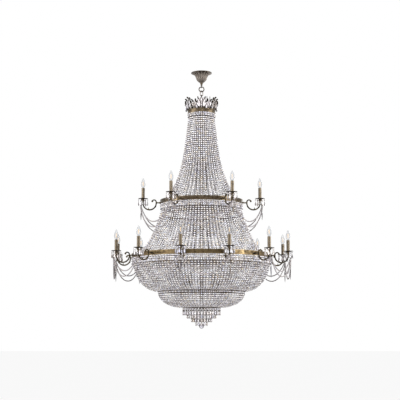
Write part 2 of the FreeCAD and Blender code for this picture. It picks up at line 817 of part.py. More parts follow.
def leaf(base, tip, width):
    """A pointed leaf between two points in the XZ plane."""
    middle = (base + tip) * 0.5
    along = tip - base
    across = Vector(-along.z, 0, along.x).normalize() * (width / 2)
    edges = [
        Part.Arc(base, middle + across, tip).toShape(),
        Part.Arc(tip, middle - across, base).toShape(),
    ]
    return Part.Face(Part.Wire(edges)).extrude(Vector(0, PLUME_THICKNESS, 0))


def plume_tips():
    """The tips of a plume's leaves before it leans: across, then up."""
    half = PLUME_WIDTH / 2
    return [
        (0, PLUME_HEIGHT),
        (-half * 0.72, PLUME_HEIGHT * 0.84),
        (half * 0.72, PLUME_HEIGHT * 0.84),
        (-half, PLUME_HEIGHT * 0.5),
        (half, PLUME_HEIGHT * 0.5),
    ]


def plume():
    """Five fanned leaves on a foot, leaning out, cut flat on the band's upper edge."""
    foot = -PLUME_THICKNESS * 2
    leaves = []
    for across, up in plume_tips():
        base = Vector(across * 0.3, 0, foot)
        leaves.append(leaf(base, Vector(across, 0, up), PLUME_WIDTH * 0.26))
    bar_corner = Vector(-PLUME_WIDTH * 0.25, 0, foot)
    bar = Part.makeBox(PLUME_WIDTH * 0.5, PLUME_THICKNESS, PLUME_HEIGHT * 0.1 - foot, bar_corner)
    shape = bar.fuse(leaves)
    shape.rotate(Vector(), Vector(1, 0, 0), PLUME_LEAN)
    shape.translate(Vector(0, -CROWN_BAND_RADIUS, crown_top))
    corner = Vector(-PLUME_WIDTH, -CROWN_BAND_RADIUS - PLUME_WIDTH, crown_top - PLUME_HEIGHT)
    below = Part.makeBox(2 * PLUME_WIDTH, 2 * PLUME_WIDTH, PLUME_HEIGHT, corner)
    return shape.cut(below)


def crown_crystals():
    """Upright crystals on the band between the plumes, and drops under the outer leaves' tips."""
    radius = CROWN_BAND_RADIUS
    upright = turned(
        [
            (0, crown_top),
            (CROWN_SPEAR_RADIUS * 0.3, crown_top),
            (CROWN_SPEAR_RADIUS * 0.3, crown_top + CROWN_SPEAR_LENGTH * 0.15),
            (CROWN_SPEAR_RADIUS, crown_top + CROWN_SPEAR_LENGTH * 0.4),
            (0, crown_top + CROWN_SPEAR_LENGTH),
        ]
    )
    upright.translate(Vector(0, -radius, 0))
    step = 360.0 / PLUME_COUNT
    pieces = around(upright, PLUME_COUNT, step * 0.38) + around(upright, PLUME_COUNT, step * 0.62)
    lean = math.radians(PLUME_LEAN)
    reach = 0.92  # how far along its leaf a drop hangs
    for across, up in plume_tips()[3:]:
        along = up * reach
        top = crown_top + along * math.cos(lean)
        drop = turned(
            crystal_string(top, LEAF_DROP_LENGTH, 0, 0, LEAF_DROP_LENGTH * 0.6, LEAF_DROP_RADIUS)
        )
        out = radius + along * math.sin(lean) + (HOOK_WIRE + SEAT_GAP) / math.cos(lean)
        drop.translate(Vector(across * (0.3 + 0.7 * reach), -out, 0))
        pieces += around(drop, PLUME_COUNT)
    return pieces


# Base


def base_drops():
    """Rings of hanging strings, each ring smaller and longer than the one outside it."""
    strings = []
    for tier, radius in enumerate(tier_radii):
        top = (base_frame_foot if tier else base_ring_foot) - SEAT_GAP
        drop = FIRST_TIER_DROP + TIER_DROP_STEP * tier
        beads = round((drop - TIER_CRYSTAL_LENGTH) / BEAD_PITCH)
        outline = crystal_string(
            top, drop, beads, BEAD_WIDTH / 2, TIER_CRYSTAL_LENGTH, TIER_CRYSTAL_RADIUS
        )
        string = moved(turned(outline), Vector(0, -radius, 0))
        count = int(2 * math.pi * radius / (2 * TIER_CRYSTAL_RADIUS + TIER_SPACING))
        strings += around(string, count)
    return strings


def bottom_ball():
    """The ball under the middle, on its own string of beads."""
    top = stem_foot - SEAT_GAP
    beads_drop = BOTTOM_BALL_DROP - 2 * BOTTOM_BALL_RADIUS
    beads = round(beads_drop / BEAD_PITCH)
    string = turned(crystal_string(top, beads_drop, beads, BEAD_WIDTH / 2, BEAD_DEPTH, BEAD_WIDTH / 2))
    centre = Vector(0, 0, top - BOTTOM_BALL_DROP + BOTTOM_BALL_RADIUS)
    neck = Part.makeCylinder(HOOK_WIRE, BOTTOM_BALL_RADIUS + BEAD_DEPTH, centre)
    return string.fuse([neck, Part.makeSphere(BOTTOM_BALL_RADIUS, centre)])


# Inner candles


def inner_candle(radius, frame_top, rod):
    """A candle on a rod that stands on a frame's hub plate, with the lamp's socket in its top."""
    cup_foot = frame_top + rod
    cup_top = cup_foot + INNER_CUP_HEIGHT
    mouth = cup_top + INNER_SLEEVE_HEIGHT
    body = turned(
        [
            (0, frame_top),
            (ROD_RADIUS, frame_top),
            (ROD_RADIUS, cup_foot),
            (INNER_CUP_RADIUS, cup_foot + INNER_CUP_HEIGHT / 2),
            (INNER_CUP_RADIUS, cup_top),
            (SLEEVE_RADIUS, cup_top),
            (SLEEVE_RADIUS, mouth),
            (0, mouth),
        ]
    )
    depth = HOLDER_SETBACK + LAMP_CAP_LENGTH + SEAT_GAP
    socket = Part.makeCylinder(LAMP_CAP_RADIUS + LAMP_CAP_GAP, depth, Vector(0, 0, mouth - depth))
    step_foot = Vector(0, 0, mouth - HOLDER_SETBACK)
    step = Part.makeCylinder(SLEEVE_RADIUS - SLEEVE_WALL, HOLDER_SETBACK, step_foot)
    return moved(body.cut([socket, step]), Vector(0, -radius, 0))


# The pieces are written out

upper_arm_tier = {
    "name": "upper",
    "count": UPPER_ARM_COUNT,
    "turn": UPPER_ARM_TURN,
    "band": UPPER_BAND_RADIUS,
    "height": upper_pan_height,
    "spear": UPPER_SPEAR_LENGTH,
    "sag": UPPER_GARLAND_SAG,
}
lower_arm_tier = {
    "name": "lower",
    "count": LOWER_ARM_COUNT,
    "turn": LOWER_ARM_TURN,
    "band": LOWER_BAND_RADIUS,
    "height": lower_pan_height,
    "spear": LOWER_SPEAR_LENGTH,
    "sag": LOWER_GARLAND_SAG,
}
arm_tiers = [upper_arm_tier, lower_arm_tier]


def spread(shape, tier):
    """Copies of a piece on every arm of a tier."""
    front = to_front(shape.copy(), tier["band"] + arm_length, tier["height"])
    return around(front, tier["count"], tier["turn"])


def on_every_arm(shape):
    return [copy for tier in arm_tiers for copy in spread(shape, tier)]


def save_suspension():
    save("ceiling_plate", [ceiling_plate()])
    save("hanger_stem", [hanger_stem()])
    save("lock_nut", [lock_nut()])
    save("canopy", [canopy()])
    save("canopy_collar", [canopy_collar()])
    save("hanging_ring", [hanging_ring()])
    save("suspension_link", [suspension_link()])
    save("crown_hub", [crown_hub()])


def save_frame():
    upper_plate = UPPER_CLUSTER_RADIUS + PLATE_MARGIN
    lower_plate = LOWER_CLUSTER_RADIUS + PLATE_MARGIN
    bowl_plate = BOWL_CLUSTER_RADIUS + PLATE_MARGIN
    save("centre_stem", [centre_stem()])
    save("stem_collars", stem_collars())
    save("crown_band", [band(CROWN_BAND_RADIUS, crown_foot, CROWN_BAND_HEIGHT, UPPER_TENT_TOP_INSET)])
    save("upper_band", [band(UPPER_BAND_RADIUS, upper_foot, UPPER_BAND_HEIGHT, LOWER_TENT_TOP_INSET)])
    save("lower_band", [band(LOWER_BAND_RADIUS, lower_foot, LOWER_BAND_HEIGHT, MAIN_BOWL_INSET)])
    save("bowl_ring", [tube(bowl_ring_inside, BOWL_RING_RADIUS, bowl_ring_foot, THIN_RING_HEIGHT)])
    save("base_ring", [tube(base_ring_inside, BASE_RING_RADIUS, base_ring_foot, THIN_RING_HEIGHT)])
    save("crown_frame", [band_frame(CROWN_BAND_RADIUS, crown_foot, CROWN_HUB_PLATE, UPPER_TENT_TOP_INSET)])
    save("upper_frame", [band_frame(UPPER_BAND_RADIUS, upper_foot, upper_plate, LOWER_TENT_TOP_INSET)])
    save("lower_frame", [band_frame(LOWER_BAND_RADIUS, lower_foot, lower_plate, MAIN_BOWL_INSET)])
    save("bowl_frame", [spoked_frame(bowl_ring_inside - SEAT_GAP, bowl_plate, bowl_frame_top)])
    save(
        "base_frame",
        [spoked_frame(base_ring_inside - SEAT_GAP, BASE_HUB_PLATE, base_frame_top, tier_radii[1:])],
    )


def save_curtains():
    save("upper_tent", upper_tent())
    save("lower_tent", lower_tent())
    save("main_bowl", main_bowl())
    save("lower_bowl", lower_bowl())
    skirts = skirt(CROWN_BAND_RADIUS, crown_foot, CROWN_SKIRT_DROP)
    skirts += skirt(UPPER_BAND_RADIUS, upper_foot, UPPER_SKIRT_DROP)
    skirts += skirt(LOWER_BAND_RADIUS, lower_foot, LOWER_SKIRT_DROP)
    save("skirt_strands", skirts)


def save_arms():
    bosses = []
    spears = []
    strings = []
    for tier in arm_tiers:
        reach = tier["band"] + arm_length
        save(tier["name"] + "_arms", spread(arm(reach, tier["band"]), tier))
        bosses += spread(arm_boss(reach, tier["band"]), tier)
        spears += spread(arm_spear(tier["spear"]), tier)
        strings += garlands(reach, tier["height"], tier["count"], tier["turn"], tier["sag"])
        for index, bulb in enumerate(spread(lamp(sleeve_top), tier)):
            save("lamp_" + tier["name"] + "_" + str(index + 1), [bulb])
    save("arm_bosses", bosses)
    save("arm_spears", spears)
    save("garlands", strings)
    save("candle_cups", on_every_arm(candle_cup()))
    save("drip_pans", on_every_arm(drip_pan()))
    save("candle_sleeves", on_every_arm(candle_sleeve()))
    save("lampholders", on_every_arm(lampholder()))
    save("pan_crystals", [copy for drop in pan_drops() for copy in on_every_arm(drop)])


def save_trim():
    save("crown_plumes", around(plume(), PLUME_COUNT))
    save("crown_crystals", crown_crystals())
    save("base_drops", base_drops())
    save("bottom_ball", [bottom_ball()])


def save_inner_candles():
    candles = []
    bulbs = []
    for count, radius, frame_top, rod in (
        (UPPER_CLUSTER_COUNT, UPPER_CLUSTER_RADIUS, upper_foot, UPPER_CLUSTER_ROD),
        (LOWER_CLUSTER_COUNT, LOWER_CLUSTER_RADIUS, lower_foot, LOWER_CLUSTER_ROD),
        (BOWL_CLUSTER_COUNT, BOWL_CLUSTER_RADIUS, bowl_frame_top, BOWL_CLUSTER_ROD),
    ):
        mouth = frame_top + rod + INNER_CUP_HEIGHT + INNER_SLEEVE_HEIGHT
        candles += around(inner_candle(radius, frame_top, rod), count)
        bulbs += around(moved(lamp(mouth), Vector(0, -radius, 0)), count)
    save("inner_candles", candles)
    save("inner_lamps", bulbs)


os.makedirs("parts", exist_ok=True)
save_suspension()
save_frame()
save_curtains()
save_arms()
save_trim()
save_inner_candles()
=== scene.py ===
import json
from math import asin, atan2, cos, degrees, hypot, pi, radians, sin
import bpy
import numpy as np
from mathutils import Matrix, Vector

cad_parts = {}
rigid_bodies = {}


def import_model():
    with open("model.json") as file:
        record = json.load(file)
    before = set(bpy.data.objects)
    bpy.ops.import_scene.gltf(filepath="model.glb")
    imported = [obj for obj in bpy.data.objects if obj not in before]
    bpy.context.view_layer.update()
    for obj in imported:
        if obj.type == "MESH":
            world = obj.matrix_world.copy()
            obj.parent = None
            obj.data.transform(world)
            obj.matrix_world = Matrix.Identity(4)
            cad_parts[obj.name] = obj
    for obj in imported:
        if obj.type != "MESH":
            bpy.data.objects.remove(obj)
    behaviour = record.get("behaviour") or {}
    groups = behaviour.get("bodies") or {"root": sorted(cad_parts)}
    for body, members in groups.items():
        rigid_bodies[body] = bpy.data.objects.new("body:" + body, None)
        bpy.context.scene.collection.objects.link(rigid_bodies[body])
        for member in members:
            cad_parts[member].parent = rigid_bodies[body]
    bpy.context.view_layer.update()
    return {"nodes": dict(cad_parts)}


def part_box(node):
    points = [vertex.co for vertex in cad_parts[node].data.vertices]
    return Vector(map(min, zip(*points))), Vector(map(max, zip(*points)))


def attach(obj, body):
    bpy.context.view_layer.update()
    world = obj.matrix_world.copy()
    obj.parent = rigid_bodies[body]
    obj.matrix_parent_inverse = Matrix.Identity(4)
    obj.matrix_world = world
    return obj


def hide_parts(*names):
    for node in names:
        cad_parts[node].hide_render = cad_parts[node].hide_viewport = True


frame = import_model()
draw = np.random.default_rng(21)  # every random draw comes from here, in the order of the script
mm = 0.001  # pieces are drawn in millimetres and made in metres


# shader maths: a value wraps a socket, and its operators add Math nodes
def operator(operation, turned=False):
    def work(value, other):
        return value.maths(operation, *((other, value) if turned else (value, other)))

    return work


class Value:
    def __init__(self, finish, socket):
        self.finish = finish
        self.socket = socket

    def maths(self, operation, *others):
        return self.finish.node("Math", dict(enumerate(others)), operation=operation)

    __add__, __radd__ = operator("ADD"), operator("ADD", True)
    __mul__, __rmul__ = operator("MULTIPLY"), operator("MULTIPLY", True)
    __rsub__ = operator("SUBTRACT", True)
    __pow__ = operator("POWER")


def paint(colour):
    # a web code, or three linear values, as the four linear values that a shader takes
    if isinstance(colour, str):
        parts = [int(colour[i : i + 2], 16) / 255 for i in (0, 2, 4)]
        colour = [p / 12.92 if p < 0.04045 else ((p + 0.055) / 1.055) ** 2.4 for p in parts]
    return (*colour, 1)


class Finish:
    def __init__(self, name, library=bpy.data.materials):
        self.material = library.new(name)
        self.material.use_nodes = True
        self.tree = self.material.node_tree
        self.tree.nodes.clear()

    def node(self, kind, inputs, output=0, **settings):
        made = self.tree.nodes.new("ShaderNode" + kind)
        for key, value in settings.items():
            setattr(made, key, value)
        for key, value in inputs.items():
            if isinstance(value, Value):
                self.tree.links.new(value.socket, made.inputs[key])
            else:
                made.inputs[key].default_value = value
        return Value(self, made.outputs[output])

    def place(self):
        return self.node("TexCoord", {}, "Object")

    def grain(self, scale, detail=3.0, stretch=(1, 1, 1)):
        stretched = self.node("VectorMath", {0: self.place(), 1: stretch}, operation="MULTIPLY")
        return self.node("TexNoise", {"Vector": stretched, "Scale": scale, "Detail": detail})

    def ramp(self, value, stops):
        made = self.node("ValToRGB", {"Fac": value})
        elements = made.socket.node.color_ramp.elements
        while len(elements) < len(stops):
            elements.new(0.5)
        for element, (place, colour) in zip(elements, stops.items()):
            element.position = place
            element.color = paint(colour)
        return made

    def clamp(self, value, low, high):
        return self.node("MapRange", {"Value": value, "From Min": low, "From Max": high})

    def mix(self, share, first, second, blend="MIX"):
        inputs = {"Factor": share, 6: first, 7: second}
        return self.node("Mix", inputs, 2, data_type="RGBA", blend_type=blend)

    def bump(self, height, strength, depth):
        return self.node("Bump", {"Height": height, "Strength": strength, "Distance": depth})

    def surface(self, inputs):
        return self.node("BsdfPrincipled", inputs)

    def blend(self, share, first, second):
        return self.node("MixShader", {0: share, 1: first, 2: second})

    def finished(self, shader):
        world = isinstance(self.material, bpy.types.World)
        out = self.tree.nodes.new("ShaderNodeOutputWorld" if world else "ShaderNodeOutputMaterial")
        self.tree.links.new(shader.socket, out.inputs["Surface"])
        return self.material

    def coated(self, inputs):
        return self.finished(self.surface(inputs))


brassTones = {
    "antiqueBrass": {"light": "7d705b", "middle": "574a3a", "dark": "231c14", "rough": 0.34},
    "armBrass": {"light": "62563f", "middle": "3c3427", "dark": "15110c", "rough": 0.3},
    "giltBrass": {"light": "9a8560", "middle": "66563e", "dark": "2b2217", "rough": 0.28},
    "darkBronze": {"light": "5f5546", "middle": "3a3229", "dark": "14100c", "rough": 0.36},
    "blackBronze": {"light": "4b4135", "middle": "2a241d", "dark": "100d0a", "rough": 0.36},
    "sleeveBrass": {
        "light": "766b5b", "middle": "5b5041", "dark": "372f25", "rough": 0.33,
        "brushed": (1, 1, 0.05),
    },
    "greyBronze": {
        "light": "a39a92", "middle": "7a7169", "dark": "2b2526", "rough": 0.4,
        # its hollows darken strongly: painted shade in the creases of the canopy's flutes
        "even": 0.3, "hollowPatinaAndShade": 0.8,
    },
}


def agedBrass(name, tone):
    # cast brass that was darkened and rubbed bright again, with dark left in the grain; convex
    # edges are lighter from rubbing and from a painted highlight, and hollows darker from patina
    # and painted shade
    finish = Finish(name)
    cloud = finish.grain(38, 4)
    speck = finish.grain(420, 2, tone.get("brushed", (1, 1, 1)))
    curvature = finish.node("NewGeometry", {}, "Pointiness")
    edge = finish.clamp(curvature, 0.5, 0.58)
    # hollows get darker: patina in the recesses together with painted shade
    hollowPatinaAndShade = finish.clamp(curvature, 0.49, 0.43)
    even = tone.get("even", 0.15)
    patina = finish.clamp(cloud * 0.65 + speck * 0.35, 0.51 - even, 0.51 + even)
    colour = finish.ramp(patina, {0.0: tone["dark"], 0.35: tone["middle"], 1.0: tone["light"]})
    colour = finish.mix(hollowPatinaAndShade * tone.get("hollowPatinaAndShade", 0.2), colour, paint(tone["dark"]))
    # convex edges get lighter: rubbed wear together with a painted highlight
    colour = finish.mix(edge * 0.7, colour, paint(tone["light"]))
    rough = tone["rough"] + 0.16 - 0.2 * patina
    normal = finish.bump(speck, 0.12, 0.0006)
    return finish.coated(
        {"Base Color": colour, "Metallic": 0.92, "Roughness": rough, "Normal": normal}
    )


def zincSteel(name):
    finish = Finish(name)
    flake = finish.node("TexVoronoi", {"Vector": finish.place(), "Scale": 260.0}, "Color")
    grey = finish.ramp(flake, {0.0: "8d8f90", 1.0: "c3c5c6"})
    rough = 0.35 + finish.grain(90) * 0.2
    return finish.coated({"Base Color": grey, "Metallic": 0.9, "Roughness": rough})


def holderPlastic(name):
    finish = Finish(name)
    cream = finish.ramp(finish.grain(60), {0.3: "d8d2c2", 0.7: "e9e4d6"})
    return finish.coated({"Base Color": cream, "Roughness": 0.45})


crystalLook = {
    "solid": {"crystal": 0.86, "crystalVeil": 0.5},  # how much a dark facet hides
    "spread": {"crystal": 0.2, "crystalVeil": 0.4},  # and how much more a bright one does
    "rough": 0.06,
    # painted shade: a facet that faces the middle is made dimmer
    "inside": 0.45,  # how bright a facet is that faces the middle
    # the glow is painted light: emission that shows the bright room seen through the crystal
    "glow": 0.28,  # the bright room seen through it
}


def cutCrystal(name):
    # painted reflection: each facet's colour shows its own piece of the room, dark, grey, white or
    # a painted spark of colour, and a painted glow adds the room seen through it
    finish = Finish(name)
    facet, tint = (
        finish.node("Attribute", {}, "Fac", attribute_name=kind) for kind in ("facet", "tint")
    )
    shade = finish.ramp(
        facet, {0.0: "24211f", 0.12: "544f4d", 0.32: "a39e9d", 0.6: "e4e1e1", 0.8: "ffffff"}
    )
    spark = finish.ramp(
        tint, {0.0: "fff7ec", 0.3: "f6f1f8", 0.6: "ffffff", 0.85: "e6e8fb", 1.0: "fff0d6"}
    )
    colour = finish.mix(1.0, shade, spark, "MULTIPLY")
    rim = finish.node("LayerWeight", {"Blend": 0.35}, "Facing")
    solid = crystalLook["solid"][name] + crystalLook["spread"][name] * facet + rim * 0.2
    return finish.coated(
        {
            "Base Color": colour,
            "Roughness": crystalLook["rough"],
            "IOR": 1.6,
            "Alpha": finish.clamp(solid, 0.0, 1.0),
            "Emission Color": colour,
            "Emission Strength": crystalLook["glow"],
        }
    )


def lampGlass(name):
    # thin blown glass: clear where it is faced, and glossy round its outline, where its grey is a
    # painted reflection
    finish = Finish(name)
    rim = finish.node("LayerWeight", {"Blend": 0.3}, "Facing")
    waver = finish.grain(30, 1) * 0.08
    share = finish.clamp(rim**1.1 * 1.15 + 0.05 + waver, 0.0, 1.0)
    clear = finish.node("BsdfTransparent", {})
    gloss = finish.surface({"Base Color": paint("8f9298"), "Roughness": 0.04, "IOR": 1.5})
    return finish.finished(finish.blend(share, clear, gloss))


def glowingFilament(name):
    finish = Finish(name)
    glow = finish.ramp(finish.grain(500, 1), {0.3: "c4a57c", 0.7: "ddc6a0"})
    return finish.coated(
        {"Base Color": glow, "Emission Color": glow, "Emission Strength": 0.7, "Roughness": 0.5}
    )


finishes = {name: agedBrass(name, tone) for name, tone in brassTones.items()}
for name, mixed in {
    "zincSteel": zincSteel,
    "holderPlastic": holderPlastic,
    "crystal": cutCrystal,
    "crystalVeil": cutCrystal,  # for the strands behind others
    "lampGlass": lampGlass,
    "glowingFilament": glowingFilament,
}.items():
    finishes[name] = mixed(name)
print("finishes mixed:", len(finishes))


# forms: corners in millimetres, faces, and the island that each face belongs to
class Form:
    def __init__(self, corners, faces, islands=None, skin=0, shade=1.0):
        self.corners = np.asarray(corners, float).reshape(-1, 3)
        self.faces = faces
        self.islands = np.zeros(len(faces), int) if islands is None else islands
        self.skin = np.broadcast_to(skin, len(faces))  # which of the materials each face has
        # shade is painted shade: how much of its painted reflection a crystal face keeps
        self.shade = np.broadcast_to(shade, len(faces))  # how bright each face is if it is crystal

    def moved(self, matrix):
        turn = np.array(matrix)
        corners = self.corners @ turn[:3, :3].T + turn[:3, 3]
        return Form(corners, self.faces, self.islands, self.skin, self.shade)

    def painted(self, skin):
        return Form(self.corners, self.faces, self.islands, skin, self.shade)


def joined(forms):
    faces, islands = [], []
    corner = island = 0
    for form in forms:
        faces += [tuple(c + corner for c in face) for face in form.faces]
        islands.append(form.islands + island)
        corner += len(form.corners)
        island += int(form.islands.max()) + 1
    return Form(
        np.vstack([form.corners for form in forms]),
        faces,
        np.concatenate(islands),
        np.concatenate([form.skin for form in forms]),
        np.concatenate([form.shade for form in forms]),
    )


def strewn(form, matrices):
    # one copy of a form at each matrix
    turns = np.asarray(matrices, float)
    count, size = len(turns), len(form.corners)
    corners = np.einsum("nij,cj->nci", turns[:, :3, :3], form.corners) + turns[:, None, :3, 3]
    faces = []
    for index in range(count):
        start = index * size
        faces += [tuple(c + start for c in face) for face in form.faces]
    islands = np.repeat(np.arange(count), len(form.faces))
    return Form(corners, faces, islands, np.tile(form.skin, count), np.tile(form.shade, count))


def ringSteps(count):
    # each step round a ring with the one after it
    return [(step, (step + 1) % count) for step in range(count)]


def ringsOf(profile, sides, twist=0.0, depth=1.0, ripple=None):
    # a ring of corners at each radius and height, or one corner where the radius is nothing;
    # a twist turns each ring from the last, and a ripple changes the radius with the angle
    corners, rings = [], []
    for index, (radius, height) in enumerate(profile):
        start = len(corners)
        if radius < 1e-6:
            corners.append((0, 0, height))
        else:
            for step in range(sides):
                angle = 2 * pi * (step + index * twist) / sides
                reach, rise = ripple(index, angle, radius, height) if ripple else (radius, height)
                corners.append((reach * cos(angle), depth * reach * sin(angle), rise))
        rings.append(range(start, len(corners)))
    return corners, rings


def lathed(outline, segments, ripple=None):
    # turns radius and height points round the Z axis
    corners, rings = ringsOf(outline, segments, ripple=ripple)
    faces = []
    for low, high in zip(rings, rings[1:]):
        for step, after in ringSteps(segments):
            if len(low) == 1:
                faces.append((low[0], high[after], high[step]))
            elif len(high) == 1:
                faces.append((low[step], low[after], high[0]))
            else:
                faces.append((low[step], low[after], high[after], high[step]))
    return Form(corners, faces)


def swept(points, radii, sides=10, flat=1.0):
    # a bar along points, with its own radius at each; flat squashes its section across
    points = [Vector(p) for p in points]
    corners = []
    across = None
    for index, point in enumerate(points):
        before, after = points[max(index - 1, 0)], points[min(index + 1, len(points) - 1)]
        along = (after - before).normalized()
        if across is None:
            across = along.orthogonal() if abs(along.y) > 0.9 else Vector((0, 1, 0))
        across = (across - along * across.dot(along)).normalized()
        side = along.cross(across)
        for step in range(sides):
            angle = 2 * pi * step / sides
            offset = across * cos(angle) * flat + side * sin(angle)
            corners.append(point + offset * radii[index])
    faces = []
    for ring in range(len(points) - 1):
        for step, after in ringSteps(sides):
            a, b = ring * sides + step, ring * sides + after
            faces.append((a, a + sides, b + sides, b))
    faces.append(tuple(range(sides)))
    faces.append(tuple(reversed(range(len(corners) - sides, len(corners)))))
    return Form(corners, faces)


def smoothly(points, steps):
    # a smooth line through points
    spline = [points[0], *points, points[-1]]
    made = []
    for index in range(1, len(spline) - 2):
        p0, p1, p2, p3 = (Vector(p) for p in spline[index - 1 : index + 3])
        for step in range(steps):
            t = step / steps
            bend = 2 * p0 - 5 * p1 + 4 * p2 - p3
            twist = 3 * p1 - p0 - 3 * p2 + p3
            made.append(0.5 * (2 * p1 + (p2 - p0) * t + bend * t * t + twist * t**3))
    made.append(Vector(points[-1]))
    return made


def between(values, count):
    # values at even steps, spread over count places
    return np.interp(np.linspace(0, 1, count), np.linspace(0, 1, len(values)), values)


def aroundAxis(angle, axis="Z"):
    return Matrix.Rotation(radians(angle), 4, axis)


def evenly(count, start=0.0):
    return [start + 360.0 * index / count for index in range(count)]


def paintedFacetShine(mesh, form, dim, least, calm):
    # painted reflection and shade: broad facets are bright, the narrow ones round them vary, and
    # what faces the middle gets painted shade
    count = len(mesh.polygons)
    areas, centres, normals = np.empty(count), np.empty(count * 3), np.empty(count * 3)
    mesh.polygons.foreach_get("area", areas)
    mesh.polygons.foreach_get("center", centres)
    mesh.polygons.foreach_get("normal", normals)
    outward = (centres.reshape(-1, 3)[:, :2] * normals.reshape(-1, 3)[:, :2]).sum(axis=1)
    usual = np.bincount(form.islands, areas) / np.bincount(form.islands)
    whole = draw.random(len(usual))[form.islands]
    chance = draw.random(count)
    broad = areas > 1.8 * usual[form.islands]
    paintedShine = np.where(broad, 0.76 + 0.24 * chance, 0.95 * chance)
    paintedShine = paintedShine * (least + (1.1 - least) * whole)
    paintedShine = (paintedShine + (0.8 - paintedShine) * calm) * form.shade
    paintedShine = paintedShine * np.where(outward < -0.02, crystalLook["inside"], 1.0)
    return np.clip(paintedShine * np.broadcast_to(dim, len(usual))[form.islands], 0, 1)


def placed(name, data):
    made = bpy.data.objects.new(name, data)
    bpy.context.scene.collection.objects.link(made)
    return made


def addPiece(
    name, form, body, slot, skins, replaces=(), smooth=True,
    cut=False, dim=1.0, least=0.7, calm=0.0, tinted=None,
):
    # makes a form an object that rides on a body and stands for its CAD nodes;
    # of crystals, least is how bright the dullest painted reflection is, and calm how alike their
    # facets are
    mesh = bpy.data.meshes.new(name)
    mesh.from_pydata((form.corners * mm).tolist(), [], form.faces)
    for skin in skins:
        mesh.materials.append(finishes[skin])
    mesh.polygons.foreach_set("material_index", form.skin.astype(np.int32))
    mesh.polygons.foreach_set("use_smooth", np.full(len(mesh.polygons), smooth))
    if cut:
        paintedShine = paintedFacetShine(mesh, form, dim, least, calm)
        tints = draw.random(int(form.islands.max()) + 1)[form.islands]
        if tinted is not None:
            tints = np.full(len(tints), tinted)
        for kind, values in (("facet", paintedShine), ("tint", tints)):
            attribute = mesh.attributes.new(kind, "FLOAT", "FACE")
            attribute.data.foreach_set("value", values.astype(np.float32))
    mesh.validate()
    if smooth:
        mesh.set_sharp_from_angle(angle=radians(42))
    piece = placed(name, mesh)
    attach(piece, body)
    if replaces:
        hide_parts(*replaces)


def addMetal(name, forms, slot, skins, replaces=(), smooth=True):
    addPiece(name, joined(forms), "chandelier", slot, skins, replaces, smooth)


# dim scales the painted reflections and shade on a piece's facets
def addCrystals(name, forms, node, dim=1.0, skins=("crystal",), **looks):
    addPiece(
        name, joined(forms), "chandelier", "crystal", skins, [node], smooth=False,
        cut=True, dim=dim, **looks,
    )


# cut crystals, drawn with their middle or their top at the origin
# painted shade on a bead's rim facets: dark above and below, grey on the diagonals
paintedEdgeShades = [0.6, 0.12, 0.6, 1.0, 0.6, 0.12, 0.6, 1.0]  # of a bead: dark above and below


def octagon(size, depth=0.0, turn=0.0):
    angles = [2 * pi * (step + 0.5 + turn) / 8 for step in range(8)]
    return [(size * cos(angle), depth, size * sin(angle)) for angle in angles]


def octagonBead():
    # 1 wide, 1 high and 1 deep, with a table front and back
    faces = []
    for step, after in ringSteps(8):
        front, back = 8 + step, 16 + step
        faces += [(step, after, front), (front, after, 8 + after)]
        faces += [(after, step, back), (after, back, 16 + after)]
    faces += [tuple(range(8, 16)), tuple(reversed(range(16, 24)))]
    corners = octagon(0.5) + octagon(0.29, -0.5, 0.5) + octagon(0.29, 0.5, 0.5)
    return Form(corners, faces, shade=[*np.repeat(paintedEdgeShades, 4), 1.0, 1.0])


def lozengeBead():
    # the same outline with a point front and back, for what hangs behind
    faces = []
    for step, after in ringSteps(8):
        faces += [(2 + step, 2 + after, 0), (2 + after, 2 + step, 1)]
    corners = [(0, -0.5, 0), (0, 0.5, 0)] + octagon(0.5)
    return Form(corners, faces, skin=1, shade=np.repeat(paintedEdgeShades, 2))


def paintedSideShades(corners, faces):
    # painted shade: the sides and the foot of a drop are made dark beside its front and back
    shades = []
    for face in faces:
        a, b, c = (Vector(corners[i]) for i in face)
        normal = (b - a).cross(c - a).normalized()
        aside = min(1.0, max(0.0, (abs(normal.x) - 0.3) / 0.45))
        under = min(1.0, max(0.0, (-normal.z - 0.45) / 0.4))
        shades.append((1 - 0.8 * aside) * (1 - 0.7 * under))
    return shades


def cutDrop(profile, sides, depth=1.0):
    # a hanging crystal of radius and height points, each ring turned half a side from the last
    corners, rings = ringsOf(profile, sides, 0.5, depth)
    faces = []
    for upper, lower in zip(rings, rings[1:]):
        for step, after in ringSteps(sides):
            if len(upper) == 1:
                faces.append((upper[0], lower[step], lower[after]))
            elif len(lower) == 1:
                faces.append((upper[after], upper[step], lower[0]))
            else:
                faces.append((upper[step], lower[step], upper[after]))
                faces.append((upper[after], lower[step], lower[after]))
    return Form(corners, faces, shade=paintedSideShades(corners, faces))


def pearDrop(length, width):
    profile = [(0, 0), (0.14, 0.02), (0.2, 0.16), (0.38, 0.45), (0.5, 0.7), (0.36, 0.9), (0, 1)]
    return cutDrop([(width * across, -length * down) for across, down in profile], 8, 0.62)


def iceSpear(length, width):
    profile = [(0, 0), (0.2, 0.02), (0.5, 0.22), (0.4, 0.5), (0.2, 0.85), (0, 1)]
    return cutDrop([(width * across, -length * down) for across, down in profile], 8, 0.75)


def ballProfile(radius, rows):
    turns = [pi * row / rows for row in range(rows + 1)]
    return [(radius * sin(turn), radius * cos(turn)) for turn in turns]


def cutBall(radius, rows, sides):
    return cutDrop(ballProfile(radius, rows), sides)


def pin():
    # the bent wire between two beads, 1 long
    return swept([(0, 0, 0.5), (0, 0, -0.5)], [1, 1], 4)


def stretch(x, y, z):
    return Matrix.Diagonal((x, y, z, 1))


def shift(x, y, z):
    return Matrix.Translation((x, y, z))


pinSize = stretch(0.55, 0.55, 6.5)
bandLip, bandWall, flange, seat = 2.5, 3.0, 3.0, 0.3


